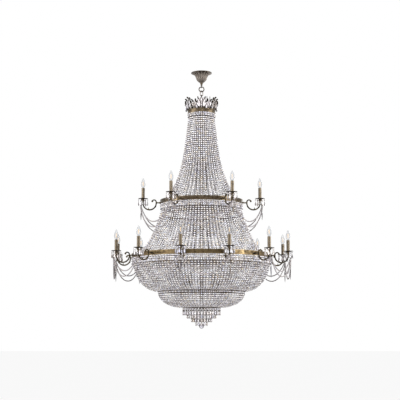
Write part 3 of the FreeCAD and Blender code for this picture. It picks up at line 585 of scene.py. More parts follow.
# levels and radii, read from the frame; a band's strands hang inside its wall
def level(node):
    low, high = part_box(node)
    foot, top, reach = low.z / mm, high.z / mm, high.y / mm
    return {"foot": foot, "top": top, "reach": reach, "inside": reach - bandLip - bandWall}


crownBand, upperBand, lowerBand, bowlRing, baseRing = (
    level(node) for node in ("crown_band", "upper_band", "lower_band", "bowl_ring", "base_ring")
)

bead = {
    "width": 14.0, "height": 14.0, "depth": 7.0, "pitch": 17.0,
    "share": 0.97,  # of the room beside its neighbours
    "twist": 14.0, "tilt": 4.0,
}
beadDepth = 6.0  # of the CAD ribbons


def tentLine(tent):
    share = np.linspace(0, 1, 240)
    outward = tent["lean"] * share + (1 - tent["lean"]) * share ** tent["flare"]
    radii = tent["topRadius"] + (tent["footRadius"] - tent["topRadius"]) * outward
    return radii, tent["top"] + (tent["foot"] - tent["top"]) * share


def bowlLine(bowl):
    angle = np.linspace(0, pi / 2, 240)
    radii = bowl["footRadius"] + (bowl["topRadius"] - bowl["footRadius"]) * np.cos(angle)
    return radii, bowl["top"] - (bowl["top"] - bowl["foot"]) * np.sin(angle)


def beadPlaces(line, count, pitch, start=0.0, offset=(0, 0)):
    # where each bead and each pin of a curtain goes: matrices that also carry their sizes
    radii, heights = line
    radii = radii + np.linspace(*offset, len(radii))
    runs = np.hypot(np.diff(radii), np.diff(heights))
    lengths = np.concatenate([[0], np.cumsum(runs)])

    def at(along):
        return float(np.interp(along, lengths, radii)), float(np.interp(along, lengths, heights))

    number = max(1, round(lengths[-1] / pitch))
    step = lengths[-1] / number
    beads, pins = [], []
    for index in range(number):
        along = (index + 0.5) * step
        radius, height = at(along)
        top, pinHeight = at(along - step / 2)
        before, after = at(along - 1), at(along + 1)
        lean = atan2(after[0] - before[0], -(after[1] - before[1]))
        width = min(bead["width"], 2 * pi * (radius - beadDepth / 2) / count * bead["share"])
        hang = Matrix.Rotation(-lean, 4, "X")
        size = stretch(width, bead["depth"], bead["height"] * step / bead["pitch"])
        for turn in evenly(count, start):
            twist, tilt = draw.uniform(-1, 1, 2)
            sway = aroundAxis(twist * bead["twist"]) @ aroundAxis(tilt * bead["tilt"], "Y")
            beads.append(aroundAxis(turn) @ shift(0, -radius, height) @ hang @ sway @ size)
            if index:
                pins.append(aroundAxis(turn) @ shift(0, -top, pinHeight) @ hang @ pinSize)
    return beads, pins


def hangStrings(forms, pins, count, radius, top, foot, rows):
    # straight strings of beads round the axis, and the pins between their beads
    line = (np.full(40, radius), np.linspace(top, foot, 40))
    places, links = beadPlaces(line, count, (top - foot) / rows)
    forms.append(strewn(octagonBead(), places))
    if links:
        pins.append(strewn(pin(), links))


# each layer's dim scales the painted reflections and shade on its beads' facets
curtains = {
    "upperTent": {
        "node": "upper_tent", "count": 48, "least": 0.7,
        "line": tentLine, "lean": 0.42, "flare": 4.5,
        "topRadius": crownBand["inside"] - 12.0,
        "top": crownBand["foot"] - seat,
        "footRadius": upperBand["inside"] - 9.0,
        "foot": upperBand["foot"] + flange + seat,
        "layers": [
            {"bead": octagonBead, "offset": (3.5, 0), "dim": 1.0},
            {"bead": lozengeBead, "offset": (-4.0, -3), "dim": 0.8},
        ],
    },
    "lowerTent": {
        "node": "lower_tent", "count": 96, "least": 0.5,
        "line": tentLine, "lean": 0.55, "flare": 4.0,
        "topRadius": upperBand["inside"] - 19.0,
        "top": upperBand["foot"] - seat,
        "footRadius": lowerBand["inside"] - 11.0,
        "foot": lowerBand["foot"] + flange + seat,
        "layers": [
            {"bead": octagonBead, "offset": (0, 0), "dim": 1.5},
            {"bead": lozengeBead, "offset": (-5, -5), "dim": 1.25},
        ],
    },
    "mainBowl": {
        "node": "main_bowl", "line": bowlLine, "count": 142, "least": 0.55,
        "topRadius": lowerBand["inside"] - 7.0,
        "top": lowerBand["foot"] - seat,
        "footRadius": bowlRing["reach"] + seat,
        "foot": (bowlRing["foot"] + bowlRing["top"]) / 2,
        "layers": [
            {"bead": octagonBead, "offset": (0, 0), "dim": 1.08},
            {"bead": lozengeBead, "offset": (-6, -2), "dim": 1.25},
        ],
    },
    "lowerBowl": {
        "node": "lower_bowl", "line": bowlLine, "count": 71, "least": 0.7,
        "topRadius": bowlRing["reach"] - 6.0,
        "top": bowlRing["foot"] - seat,
        "footRadius": baseRing["reach"] + seat,
        "foot": (baseRing["foot"] + baseRing["top"]) / 2,
        "layers": [
            {"bead": octagonBead, "offset": (0, 0), "dim": 1.05},
            {"bead": octagonBead, "offset": (0, 6), "dim": 0.7},
        ],
    },
}
wires = []
for name, curtain in curtains.items():
    strung, dims = [], []
    for index, layer in enumerate(curtain["layers"]):
        start = 180.0 * index / curtain["count"]
        line = curtain["line"](curtain)
        places, links = beadPlaces(line, curtain["count"], bead["pitch"], start, layer["offset"])
        strung.append(strewn(layer["bead"](), places))
        dims += [layer["dim"]] * len(places)
        if not index:
            wires.append(strewn(pin(), links))
    addCrystals(
        name + "Beads", strung, curtain["node"], dims, ["crystal", "crystalVeil"],
        least=curtain["least"],
    )
    print(name, "strung with", len(dims), "beads")

skirts = [
    {"band": crownBand, "drop": 31.0, "rows": 1, "pear": 18.0},
    {"band": upperBand, "drop": 43.0, "rows": 2, "pear": 18.0},
    {"band": lowerBand, "drop": 50.0, "rows": 2, "pear": 20.0},
]
skirtSpacing = 13.9
skirtForms = []
for skirt in skirts:
    radius = skirt["band"]["reach"] - beadDepth / 2
    count = int(2 * pi * (radius - beadDepth / 2) / skirtSpacing)
    top = skirt["band"]["foot"] - seat
    beadFoot = top - skirt["drop"] + skirt["pear"]
    hangStrings(skirtForms, wires, count, radius, top, beadFoot, skirt["rows"])
    drops = []
    for turn in evenly(count):
        sway = aroundAxis(draw.uniform(-20, 20))
        drops.append(aroundAxis(turn) @ shift(0, -radius, beadFoot + 1.0) @ sway)
    skirtForms.append(strewn(pearDrop(skirt["pear"], 13.4), drops))
addCrystals("skirtCrystals", skirtForms, "skirt_strands", 1.5, least=0.4)
addMetal("beadPins", wires, "plate_steel", ["zincSteel"], smooth=False)
print("skirts and pins hung")

# a hoop that the strands are tied to, just behind them
hoop = {"below": upperBand["foot"] - 78.0, "tall": 15.0, "inset": 4.0, "thick": 1.0}
radii, heights = tentLine(curtains["lowerTent"])
outline = []
for thick, drop in ((0, 0), (-1, 0), (-1, 1), (0, 1), (0, 0)):
    height = hoop["below"] - drop * hoop["tall"]
    radius = float(np.interp(-height, -heights, radii))
    outline.append((radius - hoop["inset"] + thick * hoop["thick"], height))
addMetal("strandHoops", [lathed(outline, 144)], "dark_brass", ["blackBronze"])


# where the candles stand, read from the lamps
def candlePlaces(tier, count):
    places = []
    for index in range(count):
        low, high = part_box(f"lamp_{tier}_{index + 1}")
        middle = (low + high) / 2
        angle = degrees(atan2(middle.x, -middle.y))
        places.append({"angle": angle, "reach": hypot(middle.x, middle.y) / mm, "top": high.z / mm})
    return places


lampAbovePan = 171.6  # wall of the pan, sleeve and glass
tiers = {
    "upper": {"candles": candlePlaces("upper", 6), "spear": 108.0, "sag": 135.0, "band": upperBand},
    "lower": {"candles": candlePlaces("lower", 12), "spear": 160.0, "sag": 96.0, "band": lowerBand},
}
for tier in tiers.values():
    tier["reach"] = tier["candles"][0]["reach"]
    tier["pan"] = tier["candles"][0]["top"] - lampAbovePan
    tier["radius"] = tier["band"]["reach"] - bandLip


def atPan(tier, candle):
    # from the pan's own place, +X outwards, to the pan of a candle
    turn = aroundAxis(candle["angle"] - 90)
    return turn @ shift(tier["reach"], 0, tier["pan"])


def onArms(form, tier):
    return strewn(form, [atPan(tier, candle) for candle in tier["candles"]])


armShape = {
    "tube": 4.5, "bow": 52.0, "bowDepth": 30.0, "cup": 24.3, "curl": 17.0, "curlRise": 10.0,
    "ball": 8.0, "neckDrop": 26.0, "boss": 12.0,
    "tip": 16.0, "tipFoot": -58.0,  # where the strings hang
}


def circlePoint(centre, radius, angle):
    turn = radians(angle)
    return Vector((centre[0] + radius * cos(turn), 0, centre[1] + radius * sin(turn)))


def armScroll(tier):
    a = armShape
    bowCentre = (-a["bow"], -a["bowDepth"])
    curlCentre = (-2 * a["bow"] + a["curl"], -a["bowDepth"] + a["curlRise"])
    path = [Vector((0, 0, -a["cup"])), Vector((0, 0, -a["bowDepth"] + 1))]
    path += [circlePoint(bowCentre, a["bow"], -angle) for angle in range(6, 181, 6)]
    path += [circlePoint(curlCentre, a["curl"], angle) for angle in range(180, 20, -15)]
    radii = between([1.05, 1.1, 1.2, 1.25, 1.25, 1.2, 1.15, 1.1, 1.0], len(path)) * a["tube"]
    forms = [swept(path, radii, 12)]
    ball = lathed([(radius, -height) for radius, height in ballProfile(a["ball"], 8)], 14)
    forms.append(ball.moved(shift(*(path[-1] + Vector((-1, 0, -2))))))
    # the neck from the band to the bow, with turned rings on it
    start = tier["radius"] + a["boss"] - tier["reach"]
    long = -2 * a["bow"] - start
    turned = [
        (0, 0), (6.2, 0), (6.6, 0.12), (4.4, 0.25), (4.2, 0.45),
        (6.4, 0.55), (6.4, 0.68), (4.4, 0.8), (4.4, 1), (0, 1),
    ]
    outline = [(radius, start + long * share) for radius, share in turned]
    lying = shift(0, 0, -a["neckDrop"]) @ aroundAxis(90, "Y")
    forms.append(lathed(outline, 14).moved(lying))
    # a thorn stands up inside the bow
    root = circlePoint(bowCentre, a["bow"] - 2, -84)
    thorn = smoothly([root, root + Vector((3, 0, 8)), root + Vector((1, 0, 17))], 5)
    forms.append(swept(thorn, between([4.4, 3.2, 0.8], len(thorn)), 8).painted(1))
    # a leaf wraps the bow under the cup and where it turns up to the curl
    for foot, turn in ((-24, 1), (-158, -1)):
        root = circlePoint(bowCentre, a["bow"], foot)
        tangent = Vector((sin(radians(foot)), 0, -cos(radians(foot)))) * turn
        outward = (root - Vector((bowCentre[0], 0, bowCentre[1]))).normalized()
        for side in (-1, 1):
            edge = Vector((0, side * 4.5, 0))
            leaf = [root, root + tangent * 9 + outward * 2 + edge, root + tangent * 19 + edge]
            line = smoothly(leaf, 4)
            forms.append(swept(line, between([3.2, 4.2, 3.0, 0.6], len(line)), 8).painted(1))
    # the hook at the tip, and the plate that the strings hang from
    hook = smoothly([(-2, 0, -42), (9, 0, -41), (15, 0, -46), (a["tip"], 0, -55)], 5)
    forms.append(swept(hook, between([2.6, 2.2, 2.0], len(hook)), 8))
    foot = a["tipFoot"]
    plate = [(0, foot), (8, foot), (11, -57.2), (11, -56.6), (5, -55.6), (3, -52), (0, -52)]
    forms.append(lathed(plate, 18).moved(shift(a["tip"], 0, 0)))
    return joined(forms)


def armBoss(tier):
    # a square rosette on the band with a turned nose for the neck
    start = tier["radius"] + seat - tier["reach"]
    deep = armShape["boss"] - seat
    half = 9.0
    steps = [(half, 0), (half, 2.2), (half - 1.6, 3.2), (half - 2.4, 5.5), (5.5, 7.5), (5.2, deep)]
    corners = []
    for size, depth in steps:
        for y, z in ((-1, -1), (1, -1), (1, 1), (-1, 1)):
            corners.append((start + depth, y * size, z * size - armShape["neckDrop"]))
    faces = [(0, 3, 2, 1)]
    for ring in range(len(steps) - 1):
        for step, after in ringSteps(4):
            a, b = ring * 4 + step, ring * 4 + after
            faces.append((a, b, b + 4, a + 4))
    last = len(corners) - 4
    faces.append((last, last + 1, last + 2, last + 3))
    return Form(corners, faces)


cupShape = [
    (0, -24), (6.5, -24), (8.8, -21.5), (8.8, -19.5), (6.0, -17.5), (5.6, -15), (8.5, -12),
    (11.8, -8), (13.6, -4.5), (15.0, -2.6), (15.0, -0.6), (13.4, 0), (0, 0),
]
panShape = [
    (0, 0), (12, -0.2), (21, 0.4), (28, 3.0), (32.5, 5.2), (37, 5.6), (39.2, 6.0), (39.6, 7.2),
    (38.4, 8.2), (36, 7.6), (32.5, 6.9), (28, 4.8), (21, 2.0), (14, 1.6), (0, 1.6),
]


def cupRipple(index, angle, radius, height):
    # petals round the cup's bell
    return (radius * (1 + (0.07 * abs(sin(6 * angle)) if 5 < index < 10 else 0)), height)


def panRipple(index, angle, radius, height):
    # twelve soft scallops along the rim
    if 3 < index < 12:
        wave = 0.5 + 0.5 * cos(12 * angle)
        return radius * (1 - 0.025 * (1 - wave)), height + 0.7 * wave
    return radius, height


def pendants():
    # an octagon and a pear under the rim, six round each pan
    pieces = []
    for turn in evenly(6):
        place = aroundAxis(turn) @ shift(36, 0, 4.6)
        small = place @ aroundAxis(90) @ shift(0, 0, -9) @ stretch(12, 6.5, 14)
        pieces.append(octagonBead().moved(small))
        pieces.append(pearDrop(39, 17.5).moved(place @ shift(0, 0, -17) @ aroundAxis(90)))
    return joined(pieces)


def spearString(length):
    # octagons and a long spear under the arm's tip
    tip, top = armShape["tip"], armShape["tipFoot"] - seat
    number = int(length / 50)
    pitch = length * 0.4 / number
    pieces = []
    for index in range(number):
        place = shift(tip, 0, top - pitch * (index + 0.5))
        pieces.append(octagonBead().moved(place @ aroundAxis(90) @ stretch(11, 6.5, pitch * 0.86)))
    spear = iceSpear(length * 0.6, 14.0)
    pieces.append(spear.moved(shift(tip, 0, top - length * 0.4) @ aroundAxis(90)))
    return joined(pieces)


garland = {"radius": 3.0, "spread": 7.5, "sagStep": 42.0, "pitch": 9.6}


def chainPlaces(tier, layer):
    # beads along the arc from one arm's tip to the next
    beads, threads = [], []
    offset = (2 * layer - 1) * (garland["radius"] + seat)
    radius = tier["reach"] + armShape["tip"] + offset
    height = tier["pan"] + armShape["tipFoot"] - seat - garland["radius"]
    step = 360.0 / len(tier["candles"])
    spread = degrees(garland["spread"] / radius)
    sag = tier["sag"] + garland["sagStep"] * layer
    rise = np.array([0, 0, 1.0])

    def ringPoint(angle):
        turn = radians(angle)
        return np.array([radius * sin(turn), -radius * cos(turn), height])

    for candle in tier["candles"]:
        first = ringPoint(candle["angle"] + spread)
        last = ringPoint(candle["angle"] + step - spread)
        half = np.linalg.norm(last - first) / 2
        bend = (half**2 + sag**2) / (2 * sag)
        reach = asin(min(1.0, half / bend)) if sag < half else pi - asin(half / bend)
        number = round(2 * reach * bend / garland["pitch"])
        along = (last - first) / (2 * half)
        centre = (first + last) / 2 + rise * (bend - sag)
        across = np.cross(along, rise)
        for index in range(number):
            angle = reach * (2 * (index + 0.5) / number - 1)
            tangent = cos(angle) * along + sin(angle) * rise
            turn = np.eye(4)
            turn[:3, :3] = np.column_stack([np.cross(across, tangent), across, tangent])
            turn[:3, 3] = centre + bend * (sin(angle) * along - cos(angle) * rise)
            spin = np.array(Matrix.Rotation(draw.uniform(0, pi), 4, "Z"))
            beads.append(turn @ spin @ np.diag([10.4, 7.6, 9.8, 1]))
            threads.append(turn @ np.diag([0.45, 0.45, 10.2, 1]))
    return beads, threads


evenBead = octagonBead()
evenBead.shade = np.full(len(evenBead.faces), 0.9)
spears, garlands, garlandWires, pans, cups, bosses, drops = ([] for _ in range(7))
for name, tier in tiers.items():
    addMetal(
        name + "ArmScrolls", [onArms(armScroll(tier), tier)], "antique_brass",
        ["armBrass", "blackBronze"], [name + "_arms"],
    )
    bosses.append(onArms(armBoss(tier), tier))
    cups.append(onArms(lathed(cupShape, 48, cupRipple), tier))
    pans.append(onArms(lathed(panShape, 72, panRipple), tier))
    drops.append(onArms(pendants(), tier))
    spears.append(onArms(spearString(tier["spear"]), tier))
    for layer in (0, 1):
        places, threads = chainPlaces(tier, layer)
        garlands.append(strewn(evenBead, places))
        garlandWires.append(strewn(pin(), threads))
addMetal("armRosettes", bosses, "dark_brass", ["blackBronze"], ["arm_bosses"])
addMetal("candleCups", cups, "antique_brass", ["antiqueBrass"], ["candle_cups"])
addMetal("dripPans", pans, "dark_brass", ["blackBronze"], ["drip_pans"])
addCrystals("panPendants", drops, "pan_crystals", 0.9, calm=0.25)
addCrystals("tipSpears", spears, "arm_spears", 0.3, calm=0.6)
addCrystals("garlandBeads", garlands, "garlands", 0.42, calm=0.9)
addMetal("garlandWires", garlandWires, "antique_brass", ["antiqueBrass"], smooth=False)
print("arms, pans and garlands hung")


# lamps: glass, cap and glowing filaments, drawn with the sleeve's mouth at height 0
lampShape = {
    "glass": [
        (7.0, -3.0), (8.6, 1.5), (12.2, 8.0), (15.4, 16.0), (17.2, 24.0), (17.4, 30.0),
        (16.6, 40.0), (14.2, 50.0), (10.6, 60.0), (6.8, 69.5), (4.0, 75.5), (2.2, 79.0), (0, 80.0),
    ],
    "cap": [(0, -27), (3.2, -26.4), (4.0, -24.2), (6.2, -22.6)],
    "capFoot": -22.0,
    "capLong": 18.0,
    "turns": 6,  # of the cap's thread
    "stem": [(0, -2.0), (5.0, -1.6), (4.0, 4.0), (2.2, 12.0), (1.6, 17.0), (0, 18.0)],
}


def lampForm():
    cap = list(lampShape["cap"])
    turns = lampShape["turns"]
    for turn in range(turns):
        height = lampShape["capFoot"] + lampShape["capLong"] * turn / turns
        cap += [(6.4, height), (7.0, height + 1.5), (6.4, height + 3.0)]
    cap += [(7.0, -3.4), (7.0, -2.8), (0, -2.8)]
    forms = [
        lathed(lampShape["glass"], 32).painted(0),
        lathed(cap, 24).painted(1),
        lathed(lampShape["stem"], 12).painted(0),
    ]
    for turn in evenly(4):
        foot = aroundAxis(turn) @ Vector((2.0, 0, 17))
        head = aroundAxis(turn + 25) @ Vector((4.5, 0, 50))
        forms.append(swept([foot, head], [0.8, 0.8], 6).painted(2))
        forms.append(swept([head, Vector((0, 0, 53))], [0.4, 0.4], 4).painted(1))
    return joined(forms)


candleLamp = lampForm()
lampSkins = ["lampGlass", "zincSteel", "glowingFilament"]
sleeveTop = 91.6  # above the pan
innerSleeve = 65.0  # above its rod
for name, tier in tiers.items():
    for index, candle in enumerate(tier["candles"]):
        lampName = f"lamp_{name}_{index + 1}"
        addPiece(
            f"candleLamp{name.capitalize()}{index + 1}",
            candleLamp.moved(atPan(tier, candle) @ shift(0, 0, sleeveTop)),
            lampName, "lamp_glass", lampSkins, [lampName],
        )
innerClusters = [
    {"count": 4, "radius": 38.0, "top": upperBand["foot"], "rod": 262.0},
    {"count": 6, "radius": 66.0, "top": lowerBand["foot"], "rod": 176.0},
    {"count": 8, "radius": 128.0, "top": level("bowl_frame")["top"], "rod": 8.0},
]
innerLamps = []
for cluster in innerClusters:
    mouth = cluster["top"] + cluster["rod"] + innerSleeve
    for turn in evenly(cluster["count"]):
        innerLamps.append(aroundAxis(turn) @ shift(0, -cluster["radius"], mouth))
inner = strewn(candleLamp, innerLamps)
addMetal("innerLampGroup", [inner], "lamp_glass", lampSkins, ["inner_lamps"])
print("lamps fitted, inner ones:", len(innerLamps))


# the crown: open palmettes of bronze ribs that hold cut crystals
plume = {
    "count": 6, "high": 98.0, "wide": 84.0, "lean": 9.0, "rows": 5,
    "tips": [  # across and high as shares, with how thick each rib and its curl are
        {"across": 0.0, "high": 1.0, "thick": 3.0, "curl": 5.0},
        {"across": 0.72, "high": 0.9, "thick": 4.2, "curl": 4.6},
        {"across": 1.0, "high": 0.56, "thick": 3.4, "curl": 5.0},
    ],
}
smallPlume = {
    "high": 72.0, "wide": 36.0, "rows": 4,
    "tips": [{"across": 0.95, "high": 1.0, "thick": 5.0, "curl": 5.4}],
}
fan = {"foot": 13.0, "rise": 15.5, "pitch": 14.5, "size": (14, 6, 14.5)}


def crownPlume(shape):
    half = shape["wide"] / 2
    mirrored = [{**tip, "across": -tip["across"]} for tip in shape["tips"] if tip["across"]]
    ribs, gems = [], []
    lift = Vector((0, -1, 0))
    for tip in shape["tips"] + mirrored:
        foot = Vector((tip["across"] * half * 0.3, 0, 3))
        head = Vector((tip["across"] * half, 0, tip["high"] * shape["high"]))
        along = (head - foot).normalized()
        side = Vector((-along.z, 0, along.x))
        long = (head - foot).length
        # a rib behind the crystal that swells into a leaf and curls out into a dark tip
        curl = [foot, foot + along * long * 0.45 + lift]
        for below, out in ((18, 1.5), (5, 4.0), (3, 9.0), (8, 10.5)):
            curl.append(head - along * below + lift * out)
        line = smoothly(curl, 5)
        swell = [3.0, tip["thick"], tip["thick"], tip["curl"], tip["curl"], 2.2]
        ribs.append(swept(line, between(swell, len(line)), 8, 1.3))
        # two leaf edges round the crystal
        for hand in (-1, 1):
            edge = [foot]
            for share, wide in ((0.25, 8.5), (0.55, 9.0)):
                edge.append(foot + along * long * share + side * hand * wide)
            line = smoothly([*edge, head - along * 9 + lift], 5)
            ribs.append(swept(line, between([2.0, 1.7, 2.0, 2.4], len(line)), 6))
        turn = atan2(along.x, along.z)
        stand = Matrix.Rotation(turn, 4, "Y") @ aroundAxis(180, "X")
        gem = cutDrop(
            [(0, 0), (3.2, -2), (8.4, -long * 0.24), (7.4, -long * 0.46), (0, -long * 0.74)], 8, 0.5
        )
        gems.append(gem.moved(shift(*(foot + along * long * 0.12 + lift * 5.0)) @ stand))
    # rows of octagons fill the fan behind the ribs
    for row in range(shape["rows"]):
        high = fan["foot"] + fan["rise"] * row
        wide = half * (0.5 + 0.5 * min(1.0, high / 52)) if high < 60 else half * 0.7
        number = int(2 * wide / fan["pitch"])
        for index in range(number):
            across = (index + 0.5 - number / 2) * fan["pitch"]
            place = shift(across, 3.5, high + (2.5 if index % 2 else -2.5))
            turn = Matrix.Rotation(draw.uniform(-0.3, 0.3), 4, "Z")
            gems.append(octagonBead().moved(place @ turn @ stretch(*fan["size"])))
    # the scrolls at the foot of the palmette
    for hand in (-1, 1):
        spiral = []
        for step in range(16):
            angle, size = radians(-90 + 26 * step), 9.5 - 0.45 * step
            across, high = 15 + size * cos(angle), 11 + size * sin(angle)
            spiral.append(Vector((hand * across, -2.5, high)))
        ribs.append(swept(spiral, between([2.6, 1.5], len(spiral)), 8))
    foot = lathed([(0, -3), (9, -3), (10, 0), (7, 3), (0, 5)], 16)
    ribs.append(foot.moved(shift(0, -2, 6) @ aroundAxis(90, "X") @ stretch(1.5, 1.0, 1)))
    gems.append(cutBall(5.5, 6, 10).moved(shift(0, -7.5, 7) @ stretch(1, 0.8, 1)))
    gems.append(pearDrop(30, 15).moved(shift(0, -10.5, 60)))
    return joined(ribs), joined(gems)


ribs, gems = crownPlume(plume)
outside = crownBand["reach"] - bandLip
stand = shift(0, -outside + 1.5, crownBand["top"]) @ aroundAxis(plume["lean"], "X")
stands = [aroundAxis(turn) @ stand for turn in evenly(plume["count"])]
smallRibs, smallGems = crownPlume(smallPlume)
smallStands = [aroundAxis(180.0 / plume["count"]) @ stand for stand in stands]
# the foot of each plume stops at the band's edge
plumeForm = joined([strewn(ribs, stands), strewn(smallRibs, smallStands)])
low = plumeForm.corners[:, 2] < crownBand["top"] + 0.1
plumeForm.corners[low, 2] = crownBand["top"] + 0.1
addMetal("crownPalmettes", [plumeForm], "dark_brass", ["blackBronze"], ["crown_plumes"])

crownGems = [strewn(gems, stands), strewn(smallGems, smallStands)]
upright = iceSpear(56, 15).moved(aroundAxis(180, "X"))
fans = plume["count"]
turns = evenly(fans, 360 / fans * 0.38) + evenly(fans, 360 / fans * 0.62)
stems = [aroundAxis(turn) @ shift(0, -outside, crownBand["top"] + 6) for turn in turns]
crownGems.append(strewn(upright, stems))
lean = radians(plume["lean"])
reach = 0.92
along = plume["high"] * 0.5 * reach
for hand in (-1, 1):
    across = hand * plume["wide"] / 2 * (0.3 + 0.7 * reach)
    out = outside + along * sin(lean) + 1.3 / cos(lean)
    place = shift(across, -out - 1.0, crownBand["top"] + along * cos(lean))
    small = octagonBead().moved(place @ shift(0, 0, -8) @ stretch(11, 6, 12))
    pear = pearDrop(37, 16).moved(place @ shift(0, 0, -14))
    crownGems.append(strewn(joined([small, pear]), [aroundAxis(turn) for turn in evenly(fans)]))
addCrystals("crownGems", crownGems, "crown_crystals", 0.72, least=0.4)
finial = [(0, 54), (3.4, 55), (4.2, 58), (2.8, 63), (2.4, 76), (3.2, 84), (0.6, 92), (0, 92.4)]
stemWires = [
    strewn(pin(), [place @ shift(0, 0, -2.5) @ stretch(1.1, 1.1, 9) for place in stems]),
    strewn(lathed(finial, 10), stems[::2]),
]
addMetal("crownGemPins", stemWires, "dark_brass", ["blackBronze"], smooth=False)
print("crown set")


# stepped drops and the ball under the base ring
baseTiers = {
    "count": 4, "step": 34.0, "spacing": 23.0,
    "first": 58.0, "dropStep": 28.0,  # how far down each hangs
    "drop": 35.0, "wide": 19.0,
}
frameFoot = level("base_frame")["foot"]
endDrop = pearDrop(baseTiers["drop"], baseTiers["wide"])
baseForms, baseWires = [], []
for index in range(baseTiers["count"]):
    radius = baseRing["reach"] - 6.0 - baseTiers["step"] * index
    top = (frameFoot if index else baseRing["foot"]) - seat
    drop = baseTiers["first"] + baseTiers["dropStep"] * index
    count = int(2 * pi * radius / baseTiers["spacing"])
    beadFoot = top - drop + baseTiers["drop"]
    number = max(1, round((top - beadFoot) / bead["pitch"]))
    hangStrings(baseForms, baseWires, count, radius, top, beadFoot, number)
    ends = []
    for turn in evenly(count):
        ends.append(aroundAxis(turn + draw.uniform(-0.6, 0.6)) @ shift(0, -radius, beadFoot))
    baseForms.append(strewn(endDrop, ends))
    if not index:
        cap = lathed([(0, -3.4), (3.4, -2.6), (4.6, 0), (3.4, 2.6), (0, 3.4)], 10)
        foot = shift(0, -radius, beadFoot - 1.0)
        baseCaps = strewn(cap, [aroundAxis(turn) @ foot for turn in evenly(count)])
addCrystals("baseDrops", baseForms, "base_drops", 0.82, least=0.85, calm=0.45)
bottom = level("bottom_ball")
ballFoot, stringTop = bottom["foot"], bottom["top"]
ball = [cutBall(19.9, 9, 14).moved(shift(0, 0, ballFoot + 20.0))]
number = round((stringTop - ballFoot - 40) / bead["pitch"])
for index in range(number):
    height = stringTop - (index + 0.5) * (stringTop - ballFoot - 40) / number
    place = shift(0, 0, height) @ aroundAxis(40 * index)
    ball.append(octagonBead().moved(place @ stretch(12, 7, 14.4)))
    baseWires.append(pin().moved(shift(0, 0, height + 8.5) @ pinSize))
addCrystals("bottomBall", ball, "bottom_ball", calm=0.4, tinted=0.75)
addMetal("baseWires", baseWires, "antique_brass", ["antiqueBrass"], smooth=False)
addMetal("baseCaps", [baseCaps], "dark_brass", ["blackBronze"])
print("base hung")


# the canopy: a bell of sixteen flutes under a rim of leaves, open at its top
canopyShape = {
    "outside": [
        (80.5, -0.3), (83.0, -1.0), (84.0, -3.4), (83.2, -6.0), (80.6, -7.4), (77.6, -6.8),
        (74.0, -8.4), (68.0, -11.4), (62.0, -15.6), (57.0, -21.0), (52.0, -28.0), (48.0, -35.5),
        (45.0, -44.0), (42.5, -52.5), (39.5, -60.5), (34.0, -68.0), (26.5, -74.8), (18.5, -80.3),
        (14.0, -83.8), (12.6, -85.8), (8.4, -85.8),
    ],
    "wall": 2.2,
    "flutes": 16,
    "fluteDepth": 5.0,
    "leaves": 16,
    "leafDepths": (0.0, 1.4, 4.2, 4.4, 2.4),
}


def canopyRipple(index, angle, radius, height):
    if 5 <= index <= 9:  # leaf tips inside the rolled rim
        leaf = canopyShape["leafDepths"][index - 5]
        leaf *= abs(sin(canopyShape["leaves"] / 2 * angle)) ** 3
        return radius - leaf, height + leaf * 0.7
    if 9 < index <= 17:
        flute = abs(cos(canopyShape["flutes"] / 2 * angle)) ** 0.6
        depth = canopyShape["fluteDepth"] * sin(pi * (index - 8) / 11)
        return radius - depth * (1 - flute), height
    return radius, height


def canopyForm():
    outside, wall = canopyShape["outside"], canopyShape["wall"]
    inside = [(max(r - wall - 4.5, 8.4), z + wall * 0.6) for r, z in outside[6:-1]]
    inside = [(79.0, -0.3), (79.0, -3.0)] + inside
    loop = [inside[0]] + outside + inside[:0:-1] + [inside[0]]

    # the ripple counts from the rim, and the loop runs towards it
    bell = lathed(loop[::-1], 192, lambda index, *rest: canopyRipple(len(loop) - 2 - index, *rest))
    # painted shade: the grooves and the hearts of the leaves are dark, and the roll carries a
    # painted dark reflection
    skins = []
    for face in bell.faces:
        x, y, z = bell.corners[list(face)].mean(axis=0)
        angle = atan2(y, x)
        shadedGroove = -64 < z < -22 and abs(cos(canopyShape["flutes"] / 2 * angle)) < 0.34
        leaf = -20 < z < -8 and abs(sin(canopyShape["leaves"] / 2 * angle)) > 0.8
        skins.append(1 if shadedGroove or leaf or hypot(x, y) > 78.5 else 0)
    return bell.painted(skins)


addPiece(
    "canopyBell", canopyForm(), "canopy", "antique_brass", ["greyBronze", "blackBronze"], ["canopy"]
)
print("canopy shaped")


# the CAD pieces that show keep their shape and get their finish
nodeFinish = {
    "zincSteel": ["ceiling_plate", "lock_nut"],
    "antiqueBrass": [
        "centre_stem", "stem_collars",
        "crown_band", "upper_band", "crown_frame", "upper_frame", "lower_frame", "bowl_frame",
        "base_frame",
    ],
    "darkBronze": [
        "hanger_stem", "canopy_collar", "hanging_ring", "crown_hub", "bowl_ring", "base_ring",
        "inner_candles",
    ],
    "greyBronze": ["suspension_link"],
    "giltBrass": ["lower_band"],
    "sleeveBrass": ["candle_sleeves"],
    "holderPlastic": ["lampholders"],
}
for skin, nodes in nodeFinish.items():
    for node in nodes:
        mesh = frame["nodes"][node].data
        mesh.materials.clear()
        mesh.materials.append(finishes[skin])
print("CAD pieces painted")


# floor, daylight and camera
room = {
    "floor": -4.6,
    "wide": 400.0,
    "sky": 0.62,
    "gapWay": (0.26, -0.966, 0.0),  # where the dark gap between the softboxes lies
    "gapEdges": (0.76, 0.95),  # cosines, from where it starts to where it is darkest
    "gapTop": (0.3, 0.22),  # sines of its height
    "gapDark": 0.14,
}


def whenSeen(finish):
    # 1 where the camera, a reflection or a refraction looks at a surface
    seen = None
    for ray in ("Is Camera Ray", "Is Glossy Ray", "Is Transmission Ray"):
        part = finish.node("LightPath", {}, ray)
        seen = part if seen is None else seen.maths("MAXIMUM", seen, part)
    return seen


